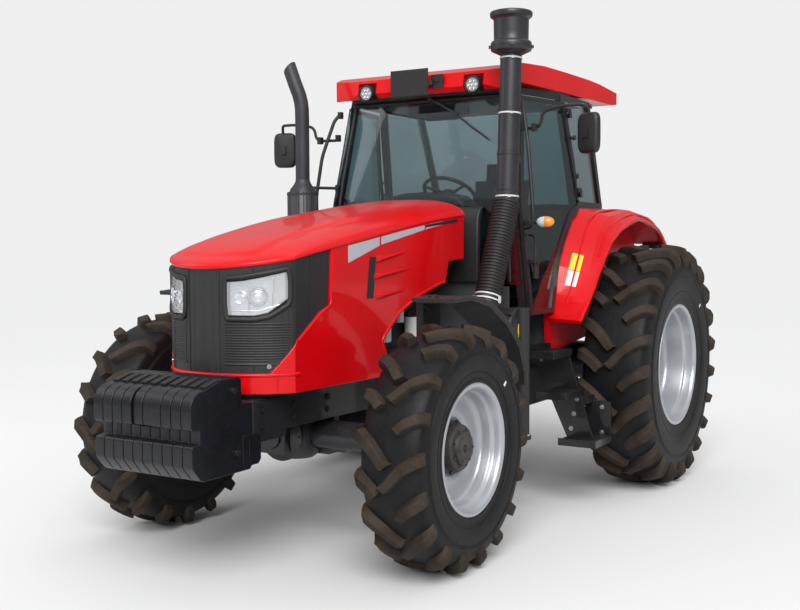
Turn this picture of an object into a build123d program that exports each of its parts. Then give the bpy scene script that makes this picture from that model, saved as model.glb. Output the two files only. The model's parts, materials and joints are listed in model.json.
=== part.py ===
from build123d import *
import os
from math import cos, pi, sin, sqrt

# Four-wheel-drive cab tractor of the 100 kW class, on single bias tyres.
# Millimetres. The front faces -Y, the tractor's left is +X, +Z is up. The origin lies on
# the ground, below the middle of the overall length.

# ---------------------------------------------------------------- driving dimensions
WHEELBASE = 2688
REAR_OVERHANG = 970           # rear axle to the lower links' ends
FRONT_TRACK = 1995
REAR_TRACK = 2420
RUN_GAP = 0.3                 # running clearance of curved faces on different bodies
REAR_Y = 1492.5               # station of the rear axle
FRONT_Y = REAR_Y - WHEELBASE
REAR_END_Y = REAR_Y + REAR_OVERHANG
CARRIER_Y = -2000             # front face of the weight carrier
WEIGHT_REACH = 462.5          # the weights' front, ahead of their carrier
NOSE_Y = CARRIER_Y - WEIGHT_REACH
MIDDLE_Y = (NOSE_Y + REAR_END_Y) / 2

FRONT_TYRE = 665              # radius over the lugs
REAR_TYRE = 870
FRONT_TYRE_W = 378
REAR_TYRE_W = 483
FRONT_SIDES = 36              # flats round the casing, one for each lug
REAR_SIDES = 46
FRONT_LUG = 38                # height of a lug over the casing
REAR_LUG = 44
FRONT_LUG_W = 44
REAR_LUG_W = 52
LUG_INNER_X = 9               # a long lug's inner end from the tyre's middle
LUG_END = 0.93                # the lugs' outer ends as a share of the half width
FRONT_RIM = 330               # radius of the bead seat
REAR_RIM = 412
FRONT_RIM_W = 342             # over the flanges
REAR_RIM_W = 418
FRONT_FLANGE = 25             # height of the flange over the bead seat
REAR_FLANGE = 26
RIM_WALL = 10
FRONT_DISC_X = 20             # outboard of the tyre's middle
REAR_DISC_X = -40
DISC_WALL = 16
FRONT_HUB_R = 148             # planetary hub
FRONT_HUB_REACH = 118         # its end, outboard of the tyre's middle
REAR_HUB_R = 112
REAR_HUB_REACH = 30

KINGPIN_X = 748
KINGPIN_R = 34
STEER_ARM = 190               # kingpin to the steering rod's eyes, rearwards
STEER_EYE_X = 718
STEER_ROD_R = 20
STEER_Y = FRONT_Y + STEER_ARM
STEER_Z = 560
PIVOT_R = 62                  # trunnions that the front axle rocks on
PIVOT_Y = (FRONT_Y - 225, FRONT_Y + 260)
STAY_X = 772                  # post of the front mudguard
STAY_Y = FRONT_Y + 98
FRONT_FENDER_X = (800, 1050)
AXLE_TUBE_R = 82
AXLE_CASE_R = 175
FINAL_DRIVE_R = 150

RAIL_X = 245                  # inner face of a front rail
RAIL_WALL = 45
RAIL_Z = (775, 960)
CARRIER_W = 640
WEIGHT_COUNT = 10
WEIGHT_PITCH = 65
WEIGHT_Z = (620, 1100)

HOOD_NOSE_Y = -2010           # foremost point of the bonnet, at its middle
HOOD_REAR_Y = -20
HOOD_NOSE_R = 500             # plan radius of the nose
HOOD_WALL = 18
HOOD_LOW_Z = 985
HOOD_LIP_Z = 1080             # top of the red sill under the grille
GRILLE_INSET = 6
# columns: y, half width, seam z, crown z
HOOD_SECTIONS = [
    (HOOD_NOSE_Y - 60, 425, 1640, 1640),
    (-1700, 425, 1712, 1782),
    (-1100, 445, 1808, 1905),
    (-500, 462, 1898, 1996),
    (HOOD_REAR_Y, 470, 1950, 2045),
]
# columns: x, z round a headlamp's window, seen from the front
LAMP_OUTLINE = [
    (195, 1425),
    (205, 1565),
    (300, 1610),
    (440, 1660),
    (440, 1480),
    (340, 1420),
    (250, 1405),
]
HOOD_HINGE = (-30, 1985)      # y and z of the bonnet's hinge
HOOD_HINGE_X = (180, 200)     # the hinge arm on the left
HOOD_PIN_R = 8

ENGINE_Y = (-900, 60)
ENGINE_X = 265                # the filters' foot on the engine's left
ENGINE_Z = (840, 1420)        # crankcase
FILTER_Y = (-850, -405)
FAN_Z = 1260                  # axis of the radiator's fan
GEARBOX_X = 210

CAB_FLOOR_Z = 1060
FLOOR_WALL = 50
ROOF_Z = (2770, 2985)
ROOF_Y = (200, 2040)
ROOF_HALF_W = 775
POST = 46                     # cab post section
# columns: y and z of a front post's middle, x of its outer face; low end, bend, top end
A_POST = [(205, 1060, 838), (250, 2050, 719), (384, 2770, 633)]
# columns: y and z of a post's middle; low end, top end
B_POST = [(1063, 2028), (903, 2770)]
C_POST = [(1740, 2028), (1440, 2770)]
WALL_Y = (270, 980, 1590)     # stations of the cab's side wall
# columns: y, z of the roof's outline from the side
ROOF_SIDE = [
    (ROOF_Y[0], ROOF_Z[0] + 30),
    (ROOF_Y[0] + 30, ROOF_Z[0]),
    (ROOF_Y[0] + 60 - RUN_GAP, ROOF_Z[0]),
    (ROOF_Y[0] + 60 - RUN_GAP, ROOF_Z[0] + 40),
    (ROOF_Y[1] - 200, ROOF_Z[0] + 40),
    (ROOF_Y[1] - 5, ROOF_Z[0] + 68),
    (ROOF_Y[1], ROOF_Z[0] + 92),
    (ROOF_Y[1] - 75, ROOF_Z[1] - 80),
    (1138, ROOF_Z[1]),
    (ROOF_Y[0] + 130, ROOF_Z[1] - 47),
    (ROOF_Y[0] + 15, ROOF_Z[1] - 90),
]
LAMP_X = 420                  # work lamps in the roof's front
LAMP_Z = 2811
LAMP_R = 52
GLASS = 6
DOOR_GAP = 6
FENDER_X = (800, 1060)
FENDER_CREST_X = 1000
HINGE_Z = (2110, 2660)        # door hinges
HINGE_OUT = 46                # hinge pin outside the cab's side wall
FENDER_WALL = 22
# columns: y, z along the rear mudguard, where it meets the cab
FENDER_INNER = [
    (545, 1247),
    (612, 1399),
    (700, 1600),
    (790, 1738),
    (935, 1920),
    (1083, 2001),
    (1530, 2004),
    (2000, 1975),
    (2290, 1760),
]
# columns: y, z along its crown
FENDER_CREST = [
    (510, 1239),
    (664, 1388),
    (804, 1558),
    (900, 1700),
    (1010, 1850),
    (1190, 1940),
    (1590, 1992),
    (2040, 1945),
    (2298, 1758),
]
# columns: y, z along its outer edge
FENDER_OUTER = [
    (500, 1237),
    (680, 1385),
    (835, 1546),
    (960, 1665),
    (1086, 1772),
    (1285, 1865),
    (1638, 1935),
    (2060, 1870),
    (2290, 1730),
]

STACK_R = 70
HOSE_R = 84
EXHAUST_X = -830
EXHAUST_Y = -10
HOSE_LOW = (752, -240, 1404)
HOSE_TOP = (768, 2, 2010)
STACK_TOP = (768, 60, 2960)
ELBOW = tuple(a - 0.2 * (b - a) for a, b in zip(HOSE_LOW, HOSE_TOP))
CLEANER_Y = -63
CLEANER_Z = 1208
EXHAUST_GUARD_R = 110
EXHAUST_R = 50

HITCH_Y = REAR_Y + 250        # lower-link pivots
HITCH_Z = 560
LINK_X = 300
LINK_END_X = 430
LINK_EYE_R = 18.5
LINK_END_Z = 520
LIFT_Y = REAR_Y + 170
LIFT_Z = 1080
LINK_PIN_R = 14
LIFT_SHAFT = 330              # half length of the lift arms' shaft
LIFT_SHAFT_R = 42
LIFT_ARM = 330                # shaft to the lift rods' pin
LIFT_ARM_X = 290
LIFT_PIN_R = 13
PTO_R = 17.5
PTO_Z = 700
TOP_LINK_Y = REAR_Y + 878     # its free eye, clear of the tyres
DRAWBAR_Z = 430
DRAWBAR_PIN_R = 16


# ---------------------------------------------------------------- building helpers
def block(x, y, z):
    """Box from its (low, high) corners along each axis."""
    centre = Pos((x[0] + x[1]) / 2, (y[0] + y[1]) / 2, (z[0] + z[1]) / 2)
    return centre * Box(x[1] - x[0], y[1] - y[0], z[1] - z[0])


def rod(start, end, radius):
    """Round bar from one point to another."""
    run = Vector(*end) - Vector(*start)
    return extrude(Plane(origin=start, z_dir=run) * Circle(radius), run.length)


def bar(start, end, width, depth, across=(1, 0, 0)):
    """Flat bar from one point to another; its width lies along across."""
    run = Vector(*end) - Vector(*start)
    side = Vector(*across)
    side = side - run * (side.dot(run) / run.length**2)
    return extrude(Plane(origin=start, x_dir=side, z_dir=run) * Rectangle(width, depth), run.length)


def side_plate(points, x):
    """Plate with its outline in (y, z), from x[0] to x[1]."""
    face = make_face(Polyline(*points, close=True))
    return extrude(Plane.YZ.offset(x[0]) * face, x[1] - x[0])


def cross_plate(points, y):
    """Plate with its outline in (x, z), from y[0] to y[1]."""
    face = make_face(Polyline(*points, close=True))
    plane = Plane(origin=(0, y[1], 0), x_dir=(1, 0, 0), z_dir=(0, -1, 0))
    return extrude(plane * face, y[1] - y[0])


def flat_plate(points, z):
    """Plate with its outline in (x, y), from z[0] to z[1]."""
    face = make_face(Polyline(*points, close=True))
    return extrude(Plane.XY.offset(z[0]) * face, z[1] - z[0])


def mirrored(shape):
    return mirror(shape, about=Plane.YZ)


def pair(shape):
    """The shape on the left and its mirror image on the right."""
    return Compound([*shape.solids(), *mirrored(shape).solids()])


def many_sided(profile, sides):
    """Solid turned about X with flat sides; profile lists (x, distance of a flat)."""
    step = 2 * pi / sides
    reach = 1 / cos(step / 2)
    faces = []
    for (x0, r0), (x1, r1) in zip(profile, profile[1:] + profile[:1]):
        for i in range(sides):
            a, b = (i - 0.5) * step, (i + 0.5) * step
            corners = [(x0, r0, a), (x1, r1, a), (x1, r1, b), (x0, r0, b)]
            points = [(x, r * reach * sin(t), -r * reach * cos(t)) for x, r, t in corners]
            faces.append(Face(Wire.make_polygon(points, close=True)))
    return Solid(Shell(faces))


# ---------------------------------------------------------------- wheels
def ring(x, r, sides):
    """Corners of a flat-sided ring; r is the distance of its flats."""
    step = 2 * pi / sides
    reach = r / cos(step / 2)
    return [(x, reach, (i - 0.5) * step) for i in range(sides)]


def band(a, b):
    """Triangles between two closed rings of as many corners."""
    n = len(a)
    out = []
    for i in range(n):
        j = (i + 1) % n
        out += [(a[i], a[j], b[i]), (a[j], b[j], b[i])]
    return out


def lug_rows(side, radius, width, lug, lug_w, sides):
    """One side's tread: rings of corners at the casing, and each lug's corners.

    A corner is (x, distance from the axis, angle). Long and short lugs take turns.
    """
    step = 2 * pi / sides
    half = width / 2
    pitches = sides // 2
    # columns: x, drop of the casing, drop of the lug's top, angle behind the lug's inner end, width
    stations = [
        (LUG_INNER_X, 0, 0, 0, lug_w),
        (0.46 * half, 4, 2, 0.29 * width, 1.05 * lug_w),
        (LUG_END * half, 30, 17, 0.42 * width, 1.2 * lug_w),
    ]
    rings = [[] for _ in stations]
    lugs = []
    for pitch in range(pitches):
        start = (2 * pitch + (side < 0)) * step
        short = pitch % 2 == 1
        corners = []
        for k, (x, drop, top_drop, behind, w) in enumerate(stations):
            if short and k == 0:
                x, behind = 0.22 * half, 0.16 * width
            base_r = radius - lug - drop
            top_r = radius - top_drop
            middle = start + behind / radius
            foot, crest = 0.68 * w / radius, 0.5 * w / radius
            top_r /= cos(crest)
            low = (side * x, base_r, middle - foot)
            high = (side * x, base_r, middle + foot)
            rings[k] += [low, high]
            corners.append((low, high, (side * x, top_r, middle - crest), (side * x, top_r, middle + crest)))
        lugs.append(corners)
    return rings, lugs


def tyre(radius, width, rim, flange, rim_w, sides, lug, lug_w):
    """Casing with its lugs, in flat facets."""
    bead = rim_w / 2 - RIM_WALL
    half = width / 2
    facets = []
    inner = []
    for side in (1, -1):
        rings, lugs = lug_rows(side, radius, width, lug, lug_w, sides)
        inner.append(rings[0])
        for row_a, row_b in zip(rings, rings[1:]):
            for i in range(1, sides, 2):
                j = (i + 1) % sides
                facets += [(row_a[i], row_a[j], row_b[i]), (row_a[j], row_b[j], row_b[i])]
        for corners in lugs:
            for (a, b, c, d), (e, f, g, h) in zip(corners, corners[1:]):
                for q in ((a, e, g, c), (c, g, h, d), (d, h, f, b)):
                    facets += [(q[0], q[1], q[2]), (q[0], q[2], q[3])]
            for a, b, c, d in (corners[0], corners[-1]):
                facets += [(a, c, d), (a, d, b)]
        wall = [rings[-1]]
        # columns: x, distance of a flat from the axis
        for x, r in (
            (half, rim + 0.46 * (radius - rim)),
            (bead, rim + flange),
            (bead, rim),
        ):
            wall.append(ring(side * x, r, sides))
        for a, b in zip(wall, wall[1:]):
            facets += band(a, b)
    turn = inner[1][-1:] + inner[1][:-1]
    facets += band(inner[0], turn)
    facets += band(ring(bead, rim, sides), ring(-bead, rim, sides))
    faces = []
    for corners in facets:
        points = [(x, -r * sin(t), -r * cos(t)) for x, r, t in corners]
        faces.append(Face(Wire.make_polygon(points, close=True)))
    return Solid(Shell(faces))


def rim(seat, flange, rim_w, disc_x, hole_r, sides):
    half = rim_w / 2
    inner = seat - RIM_WALL
    # columns: x, distance of a flat from the axis
    profile = [
        (half, inner + RIM_WALL / 2),
        (half, seat + flange),
        (half - RIM_WALL, seat + flange),
        (half - RIM_WALL, seat),
        (RIM_WALL - half, seat),
        (RIM_WALL - half, seat + flange),
        (-half, seat + flange),
        (-half, inner),
        (disc_x - DISC_WALL, inner),
        (disc_x - DISC_WALL, hole_r),
        (disc_x, hole_r),
        (disc_x, inner),
        (half - 4 * RIM_WALL, inner),
    ]
    return many_sided(profile, sides)


def front_hub():
    start = FRONT_DISC_X
    body = rod((start, 0, 0), (FRONT_HUB_REACH - 25, 0, 0), FRONT_HUB_R)
    cap = rod((FRONT_HUB_REACH - 25, 0, 0), (FRONT_HUB_REACH, 0, 0), FRONT_HUB_R * 0.62)
    barrel = rod((start - DISC_WALL, 0, 0), (start, 0, 0), FRONT_HUB_R - 30)
    flange = rod((start - DISC_WALL - 22, 0, 0), (start - DISC_WALL, 0, 0), FRONT_HUB_R)
    return body + cap + barrel + flange


def rear_hub():
    start = REAR_DISC_X
    nose = rod((start, 0, 0), (REAR_HUB_REACH, 0, 0), REAR_HUB_R - 35)
    barrel = rod((start - DISC_WALL, 0, 0), (start, 0, 0), REAR_HUB_R - 35)
    flange = rod((start - DISC_WALL - 26, 0, 0), (start - DISC_WALL, 0, 0), REAR_HUB_R + 40)
    return nose + barrel + flange


def wheels():
    size = (FRONT_TYRE, FRONT_TYRE_W, FRONT_RIM, FRONT_FLANGE, FRONT_RIM_W, FRONT_SIDES)
    front_tyre = tyre(*size, FRONT_LUG, FRONT_LUG_W)
    size = (REAR_TYRE, REAR_TYRE_W, REAR_RIM, REAR_FLANGE, REAR_RIM_W, REAR_SIDES)
    rear_tyre = tyre(*size, REAR_LUG, REAR_LUG_W)
    hole = FRONT_HUB_R - 30
    front_rim = rim(FRONT_RIM, FRONT_FLANGE, FRONT_RIM_W, FRONT_DISC_X, hole, FRONT_SIDES)
    hole = REAR_HUB_R - 35
    rear_rim = rim(REAR_RIM, REAR_FLANGE, REAR_RIM_W, REAR_DISC_X, hole, REAR_SIDES)
    # columns: end, track, axle y, tyre radius, tyre, rim, hub
    ends = [
        ("front", FRONT_TRACK, FRONT_Y, FRONT_TYRE, front_tyre, front_rim, front_hub()),
        ("rear", REAR_TRACK, REAR_Y, REAR_TYRE, rear_tyre, rear_rim, rear_hub()),
    ]
    out = {}
    for end, track, y, radius, *pieces in ends:
        place = Pos(track / 2, y, radius)
        for kind, piece in zip(("tyre", "rim", "hub"), pieces):
            left = place * piece
            out[f"{kind}_{end}_left"] = left
            out[f"{kind}_{end}_right"] = mirrored(left)
    return out


# ---------------------------------------------------------------- front axle
def front_axle_beam():
    z = FRONT_TYRE
    y = FRONT_Y
    tube_end = KINGPIN_X - 95
    case = Pos(0, y, z) * Sphere(AXLE_CASE_R)
    case = case & block((-150, 150), (y - 175, y + 175), (z - 150, z + 150))
    tubes = rod((20 - tube_end, y, z), (tube_end - 20, y, z), AXLE_TUBE_R)
    pinion = rod((0, y, z), (0, PIVOT_Y[1] + 40, z), PIVOT_R)
    trunnion = rod((0, PIVOT_Y[0] - 40, z), (0, y, z), PIVOT_R)
    beam = case + tubes + pinion + trunnion
    ear_end = KINGPIN_X + 36
    for low, high in ((z + 128, z + 172), (z - 172, z - 128)):
        ear = block((tube_end - 60, ear_end), (y - 48, y + 48), (low, high))
        beam += ear + mirrored(ear)
    web = block((tube_end - 60, tube_end - 18), (y - 45, y + 45), (z - 172, z + 172))
    beam += web + mirrored(web)
    mount = block((110, 200), (y + 30, STEER_Y - 20), (STEER_Z - 22, z - 30))
    barrel = rod((-200, STEER_Y, STEER_Z), (200, STEER_Y, STEER_Z), 38)
    beam += barrel + mount + mirrored(mount)
    beam -= rod((-300, STEER_Y, STEER_Z), (300, STEER_Y, STEER_Z), STEER_ROD_R + RUN_GAP)
    pin = rod((KINGPIN_X, y, z - 180), (KINGPIN_X, y, z + 180), KINGPIN_R)
    return beam + pin + mirrored(pin)


def steering_rod():
    shape = rod((-STEER_EYE_X, STEER_Y, STEER_Z), (STEER_EYE_X, STEER_Y, STEER_Z), STEER_ROD_R)
    for x in (-STEER_EYE_X, STEER_EYE_X):
        shape += rod((x, STEER_Y, STEER_Z - 22), (x, STEER_Y, STEER_Z + 22), 34)
    return shape


def knuckle():
    """Left swivel housing, with the final drive's stub that carries the wheel."""
    z = FRONT_TYRE
    y = FRONT_Y
    body = rod((KINGPIN_X, y, z - 122), (KINGPIN_X, y, z + 122), 78)
    stub_end = FRONT_TRACK / 2 + FRONT_DISC_X - DISC_WALL - 22 - RUN_GAP
    body += rod((KINGPIN_X, y, z), (stub_end, y, z), FINAL_DRIVE_R - 30)
    drum_x = FRONT_TRACK / 2 - FRONT_RIM_W / 2 + 20
    body += rod((drum_x, y, z), (stub_end, y, z), FINAL_DRIVE_R)
    arm_low = STEER_Z + 22 + RUN_GAP
    body += block((STEER_EYE_X - 18, STEER_EYE_X + 18), (y, STEER_Y), (arm_low, arm_low + 42))
    body += rod((STEER_EYE_X, STEER_Y, arm_low), (STEER_EYE_X, STEER_Y, arm_low + 42), 34)
    body += block((STAY_X - 26, STAY_X + 26), (y + 40, STAY_Y + 26), (z + 40, z + 95))
    return body - rod((KINGPIN_X, y, z - 200), (KINGPIN_X, y, z + 200), KINGPIN_R + RUN_GAP)


def front_fender():
    """Left front mudguard, on the swivel housing."""
    # columns: y behind the axle, z along the outer edge
    edge = [(-30, 1462), (200, 1468), (420, 1420), (640, 1300), (800, 1160), (872, 1000), (878, 925)]
    edge = [(FRONT_Y + y, z) for y, z in edge]
    wall = FENDER_WALL
    inner = [(y - wall * 0.6, z - wall) for y, z in edge]
    inner[0] = (edge[0][0], edge[0][1] - wall)
    skin = side_plate(edge + inner[::-1], FRONT_FENDER_X)
    stay = block((STAY_X - 14, STAY_X + 14), (STAY_Y - 14, STAY_Y + 14), (FRONT_TYRE + 95, 1450))
    top = block((STAY_X - 14, 930), (STAY_Y - 20, STAY_Y + 20), (1428, 1444))
    return skin + stay + top


# ---------------------------------------------------------------- frame and driveline
def front_support():
    low, high = RAIL_Z
    rail = block((RAIL_X, RAIL_X + RAIL_WALL), (CARRIER_Y + 20, ENGINE_Y[0] + 90), (low, high))
    shape = rail + mirrored(rail)
    shape += block((-CARRIER_W / 2, CARRIER_W / 2), (CARRIER_Y, CARRIER_Y + 40), (650, high))
    for y in PIVOT_Y:
        shape += block((-RAIL_X - 10, RAIL_X + 10), (y - 28, y + 28), (high - 110, high))
        hanger = block((-95, 95), (y - 28, y + 28), (FRONT_TYRE - 95, high - 100))
        shape += hanger - rod((0, y - 40, FRONT_TYRE), (0, y + 40, FRONT_TYRE), PIVOT_R + RUN_GAP)
    return shape


def engine_block():
    low, high = ENGINE_Y
    return block((-RAIL_X, RAIL_X), (low, high), ENGINE_Z)


def engine():
    low, high = ENGINE_Y
    sump = block((-190, 190), (low + 140, high - 40), (620, 840))
    head = block((-200, 200), (low + 40, high - 60), (1420, 1620))
    shape = sump + engine_block() + head
    for y in FILTER_Y:
        shape += rod((ENGINE_X + 40, y, 1130), (ENGINE_X + 40, y, 1300), 46)
        shape += block((ENGINE_X - 40, ENGINE_X + 40), (y - 40, y + 40), (1270, 1330))
    return shape


def gearbox():
    low = ENGINE_Y[1]
    high = CAB_FLOOR_Z - FLOOR_WALL
    bell = block((-270, 270), (low, low + 260), (600, high))
    box = block((-GEARBOX_X, GEARBOX_X), (low + 260, REAR_Y - 260), (560, high - 20))
    return bell + box


def rear_axle():
    z = REAR_TYRE
    case = block((-240, 240), (REAR_Y - 260, REAR_Y + 220), (560, 1050))
    top = block((-200, 200), (REAR_Y - 60, REAR_Y + 260), (1050, 1230))
    end = REAR_TRACK / 2 + REAR_DISC_X - DISC_WALL - 26 - RUN_GAP
    trumpet = rod((0, REAR_Y, z), (end - 260, REAR_Y, z), 140)
    sleeve = rod((end - 260, REAR_Y, z), (end, REAR_Y, z), 95)
    shape = case + top + trumpet + sleeve + mirrored(trumpet + sleeve)
    shape += rod((0, REAR_Y + 220, PTO_Z), (0, REAR_Y + 262, PTO_Z), 70)
    shape += rod((0, REAR_Y + 262, PTO_Z), (0, REAR_Y + 340, PTO_Z), PTO_R)
    for x in (LINK_X - 45, LINK_X + 28):
        ear = side_plate(
            [
                (REAR_Y + 40, HITCH_Z - 10),
                (HITCH_Y + 45, HITCH_Z - 40),
                (HITCH_Y + 45, HITCH_Z + 45),
                (REAR_Y + 40, HITCH_Z + 150),
            ],
            (x, x + 25),
        )
        shape += ear + mirrored(ear)
    foot = block((200, LINK_X + 53), (REAR_Y + 40, REAR_Y + 90), (HITCH_Z - 10, HITCH_Z + 150))
    pin = rod((LINK_X - 60, HITCH_Y, HITCH_Z), (LINK_X + 68, HITCH_Y, HITCH_Z), LINK_PIN_R)
    shape += foot + mirrored(foot) + pin + mirrored(pin)
    shape += rod((-LIFT_SHAFT, LIFT_Y, LIFT_Z), (LIFT_SHAFT, LIFT_Y, LIFT_Z), LIFT_SHAFT_R)
    for x in (-48, 23):
        shape += block((x, x + 25), (REAR_Y + 200, REAR_Y + 330), (900, 1000))
    return shape


def drawbar():
    width = 45
    end = REAR_Y + 760
    shape = block((-width, width), (REAR_Y - 150, end), (DRAWBAR_Z, DRAWBAR_Z + 40))
    shape -= rod((0, end - 60, DRAWBAR_Z - 10), (0, end - 60, DRAWBAR_Z + 60), DRAWBAR_PIN_R)
    hanger = block((-95, 95), (REAR_Y + 120, REAR_Y + 200), (DRAWBAR_Z - 22, 560))
    slot = block((-width - 1, width + 1), (REAR_Y, REAR_Y + 300), (DRAWBAR_Z - 1, DRAWBAR_Z + 41))
    front = block((-70, 70), (REAR_Y - 200, REAR_Y - 100), (DRAWBAR_Z, 560))
    return shape + (hanger - slot) + front


def lift_arms():
    end_y = LIFT_Y + LIFT_ARM
    end_z = LIFT_Z - 60
    arm = side_plate(
        [
            (LIFT_Y - 70, LIFT_Z - 20),
            (LIFT_Y - 20, LIFT_Z - 70),
            (end_y, end_z - 32),
            (end_y + 32, end_z),
            (end_y, end_z + 32),
            (LIFT_Y + 20, LIFT_Z + 70),
            (LIFT_Y - 60, LIFT_Z + 45),
        ],
        (LIFT_ARM_X - 20, LIFT_ARM_X + 20),
    )
    arm -= rod((0, LIFT_Y, LIFT_Z), (LIFT_SHAFT + 50, LIFT_Y, LIFT_Z), LIFT_SHAFT_R + RUN_GAP)
    arm += rod((LIFT_ARM_X, end_y, end_z), (LIFT_ARM_X + 55, end_y, end_z), LIFT_PIN_R)
    return pair(arm)


def lower_links():
    end_y = REAR_END_Y - 34
    start = (LINK_X, HITCH_Y, HITCH_Z)
    end = (LINK_END_X, end_y, LINK_END_Z)
    link = bar((LINK_X, HITCH_Y + 30, HITCH_Z - 3), (LINK_END_X, end_y - 25, LINK_END_Z + 2), 30, 70)
    link += rod((LINK_X - 19.7, HITCH_Y, HITCH_Z), (LINK_X + 27.7, HITCH_Y, HITCH_Z), 38)
    link -= rod((LINK_X - 30, HITCH_Y, HITCH_Z), (LINK_X + 30, HITCH_Y, HITCH_Z), LINK_PIN_R + RUN_GAP)
    link += rod((LINK_END_X - 22, end_y, LINK_END_Z), (LINK_END_X + 22, end_y, LINK_END_Z), 34)
    link -= rod((LINK_END_X - 30, end_y, LINK_END_Z), (LINK_END_X + 30, end_y, LINK_END_Z), LINK_EYE_R)
    middle = [(a + b) / 2 for a, b in zip(start, end)]
    link += rod((middle[0] + 10, middle[1], middle[2]), (middle[0] + 60, middle[1], middle[2]), 12)
    return pair(link)


def lift_rods():
    end_y = REAR_END_Y - 34
    x = LIFT_ARM_X + 40
    top = (x, LIFT_Y + LIFT_ARM, LIFT_Z - 60)
    low = ((LINK_X + LINK_END_X) / 2 + 45, (HITCH_Y + end_y) / 2, (HITCH_Z + LINK_END_Z) / 2)
    shape = rod(top, low, 17)
    shape += rod((top[0] - 14, top[1], top[2]), (top[0] + 14, top[1], top[2]), 30)
    shape -= rod((top[0] - 30, top[1], top[2]), (top[0] + 30, top[1], top[2]), LIFT_PIN_R + RUN_GAP)
    shape += rod((low[0] - 14, low[1], low[2]), (low[0] + 14, low[1], low[2]), 32)
    shape -= rod((low[0] - 30, low[1], low[2]), (low[0] + 30, low[1], low[2]), 20)
    return pair(shape)


def top_link():
    pin_y = REAR_Y + 300
    pin_z = 950
    end = (0, TOP_LINK_Y, pin_z + 130)
    shape = rod((0, pin_y, pin_z), (0, end[1] - 30, end[2] - 6), 22)
    shape += rod((RUN_GAP - 23, pin_y, pin_z), (23 - RUN_GAP, pin_y, pin_z), 32)
    shape += rod((-22, end[1], end[2]), (22, end[1], end[2]), 36)
    shape -= rod((-30, end[1], end[2]), (30, end[1], end[2]), 12.9)
    return shape


def front_weights():
    low, high = WEIGHT_Z
    front = NOSE_Y
    back = CARRIER_Y - RUN_GAP
    shelf = 960
    outline = [
        (back, low + 20),
        (back - 30, low),
        (front + 70, low),
        (front, low + 60),
        (front, low + 185),
        (front + 60, low + 190),
        (front + 60, low + 250),
        (front, low + 255),
        (front, high - 105),
        (front + 92, high - 45),
        (back - 200, high),
        (back - 100, high),
        (back - 85, high - 15),
        (back - 85, shelf),
        (back, shelf),
    ]
    start = -WEIGHT_COUNT * WEIGHT_PITCH / 2
    slabs = []
    for i in range(WEIGHT_COUNT):
        x = start + i * WEIGHT_PITCH
        slabs.append(side_plate(outline, (x + 2, x + WEIGHT_PITCH - 2)))
    core = block((start + 2, -start - 2), (back - 260, back - 100), (low + 100, high - 60))
    return core + slabs


# ---------------------------------------------------------------- bonnet
def hood_form(inset, low):
    """Closed outer form of the bonnet, drawn in by inset."""
    faces = []
    for y, half, seam, crown in HOOD_SECTIONS:
        w = half - inset
        top = max(crown, seam + 12) - inset
        edge = seam - inset
        lines = Polyline((-w, edge), (-w, low), (w, low), (w, edge))
        arc = ThreePointArc((w, edge), (0, top), (-w, edge))
        plane = Plane(origin=(0, y, 0), x_dir=(1, 0, 0), z_dir=(0, -1, 0))
        faces.append(plane * make_face(lines + arc))
    body = loft(faces)
    radius = HOOD_NOSE_R - inset
    centre_y = HOOD_NOSE_Y + HOOD_NOSE_R
    tangent_y = centre_y - sqrt(radius**2 - (HOOD_SECTIONS[0][1] - inset) ** 2)
    nose = Pos(0, centre_y, 1500) * Cylinder(radius, 1600)
    rest = block((-600, 600), (tangent_y, 300), (800, 2200))
    return body & (nose + rest)


def below_seam(drop):
    """Everything under the line where lid and sides meet."""
    points = [(y, seam - drop) for y, half, seam, crown in HOOD_SECTIONS]
    points[0] = (HOOD_NOSE_Y - 300, HOOD_SECTIONS[0][2] - drop)
    points[-1] = (HOOD_REAR_Y + 300, HOOD_SECTIONS[-1][2] + 30 - drop)
    return side_plate(points + [(HOOD_REAR_Y + 300, 600), (HOOD_NOSE_Y - 300, 600)], (-700, 700))


def grille_region(margin):
    return side_plate(
        [
            (-1445 + margin, 2000),
            (-1470 + margin, 1430),
            (-1560 + margin, 1395),
            (-1755 + margin, 1262 - margin),
            (-1885 + margin, HOOD_LIP_Z - margin),
            (HOOD_NOSE_Y - 200, HOOD_LIP_Z - margin),
            (HOOD_NOSE_Y - 200, 2000),
        ],
        (-700, 700),
    )


def hood_arch():
    """Opening over the front wheel, up to the rear edge."""
    return side_plate(
        [
            (-842, 900),
            (-966, 1199),
            (-800, 1334),
            (-590, 1425),
            (-320, 1494),
            (-258, 1500),
            (-215, 1640),
            (HOOD_REAR_Y - 60, 1652),
            (HOOD_REAR_Y + 100, 1652),
            (HOOD_REAR_Y + 100, 900),
        ],
        (-700, 700),
    )


def hood_hinge_ears():
    """Ears under the bonnet's rear edge, each with its hinge pin."""
    y, z = HOOD_HINGE
    x0, x1 = HOOD_HINGE_X
    ear = block((x1 + 2, x1 + 20), (y - 16, y + 10), (z - 14, z + 90))
    ear += rod((x1 + 2, y, z), (x1 + 20, y, z), 16)
    ear += rod((x0 - 4, y, z), (x1 + 20, y, z), HOOD_PIN_R)
    return pair(ear)


def hood_hinge_arms():
    """Arms on the cab's front wall that carry the bonnet's hinge."""
    y, z = HOOD_HINGE
    wall_y = A_POST[0][0] - POST / 2 - 30
    points = [(y - 12, z - 12), (wall_y, z - 190), (wall_y, z - 130), (y + 12, z + 12)]
    arm = side_plate(points, HOOD_HINGE_X) + rod((HOOD_HINGE_X[0], y, z), (HOOD_HINGE_X[1], y, z), 16)
    arm -= rod((HOOD_HINGE_X[0] - 5, y, z), (HOOD_HINGE_X[1] + 5, y, z), HOOD_PIN_R + RUN_GAP)
    return arm + mirrored(arm)


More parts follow.
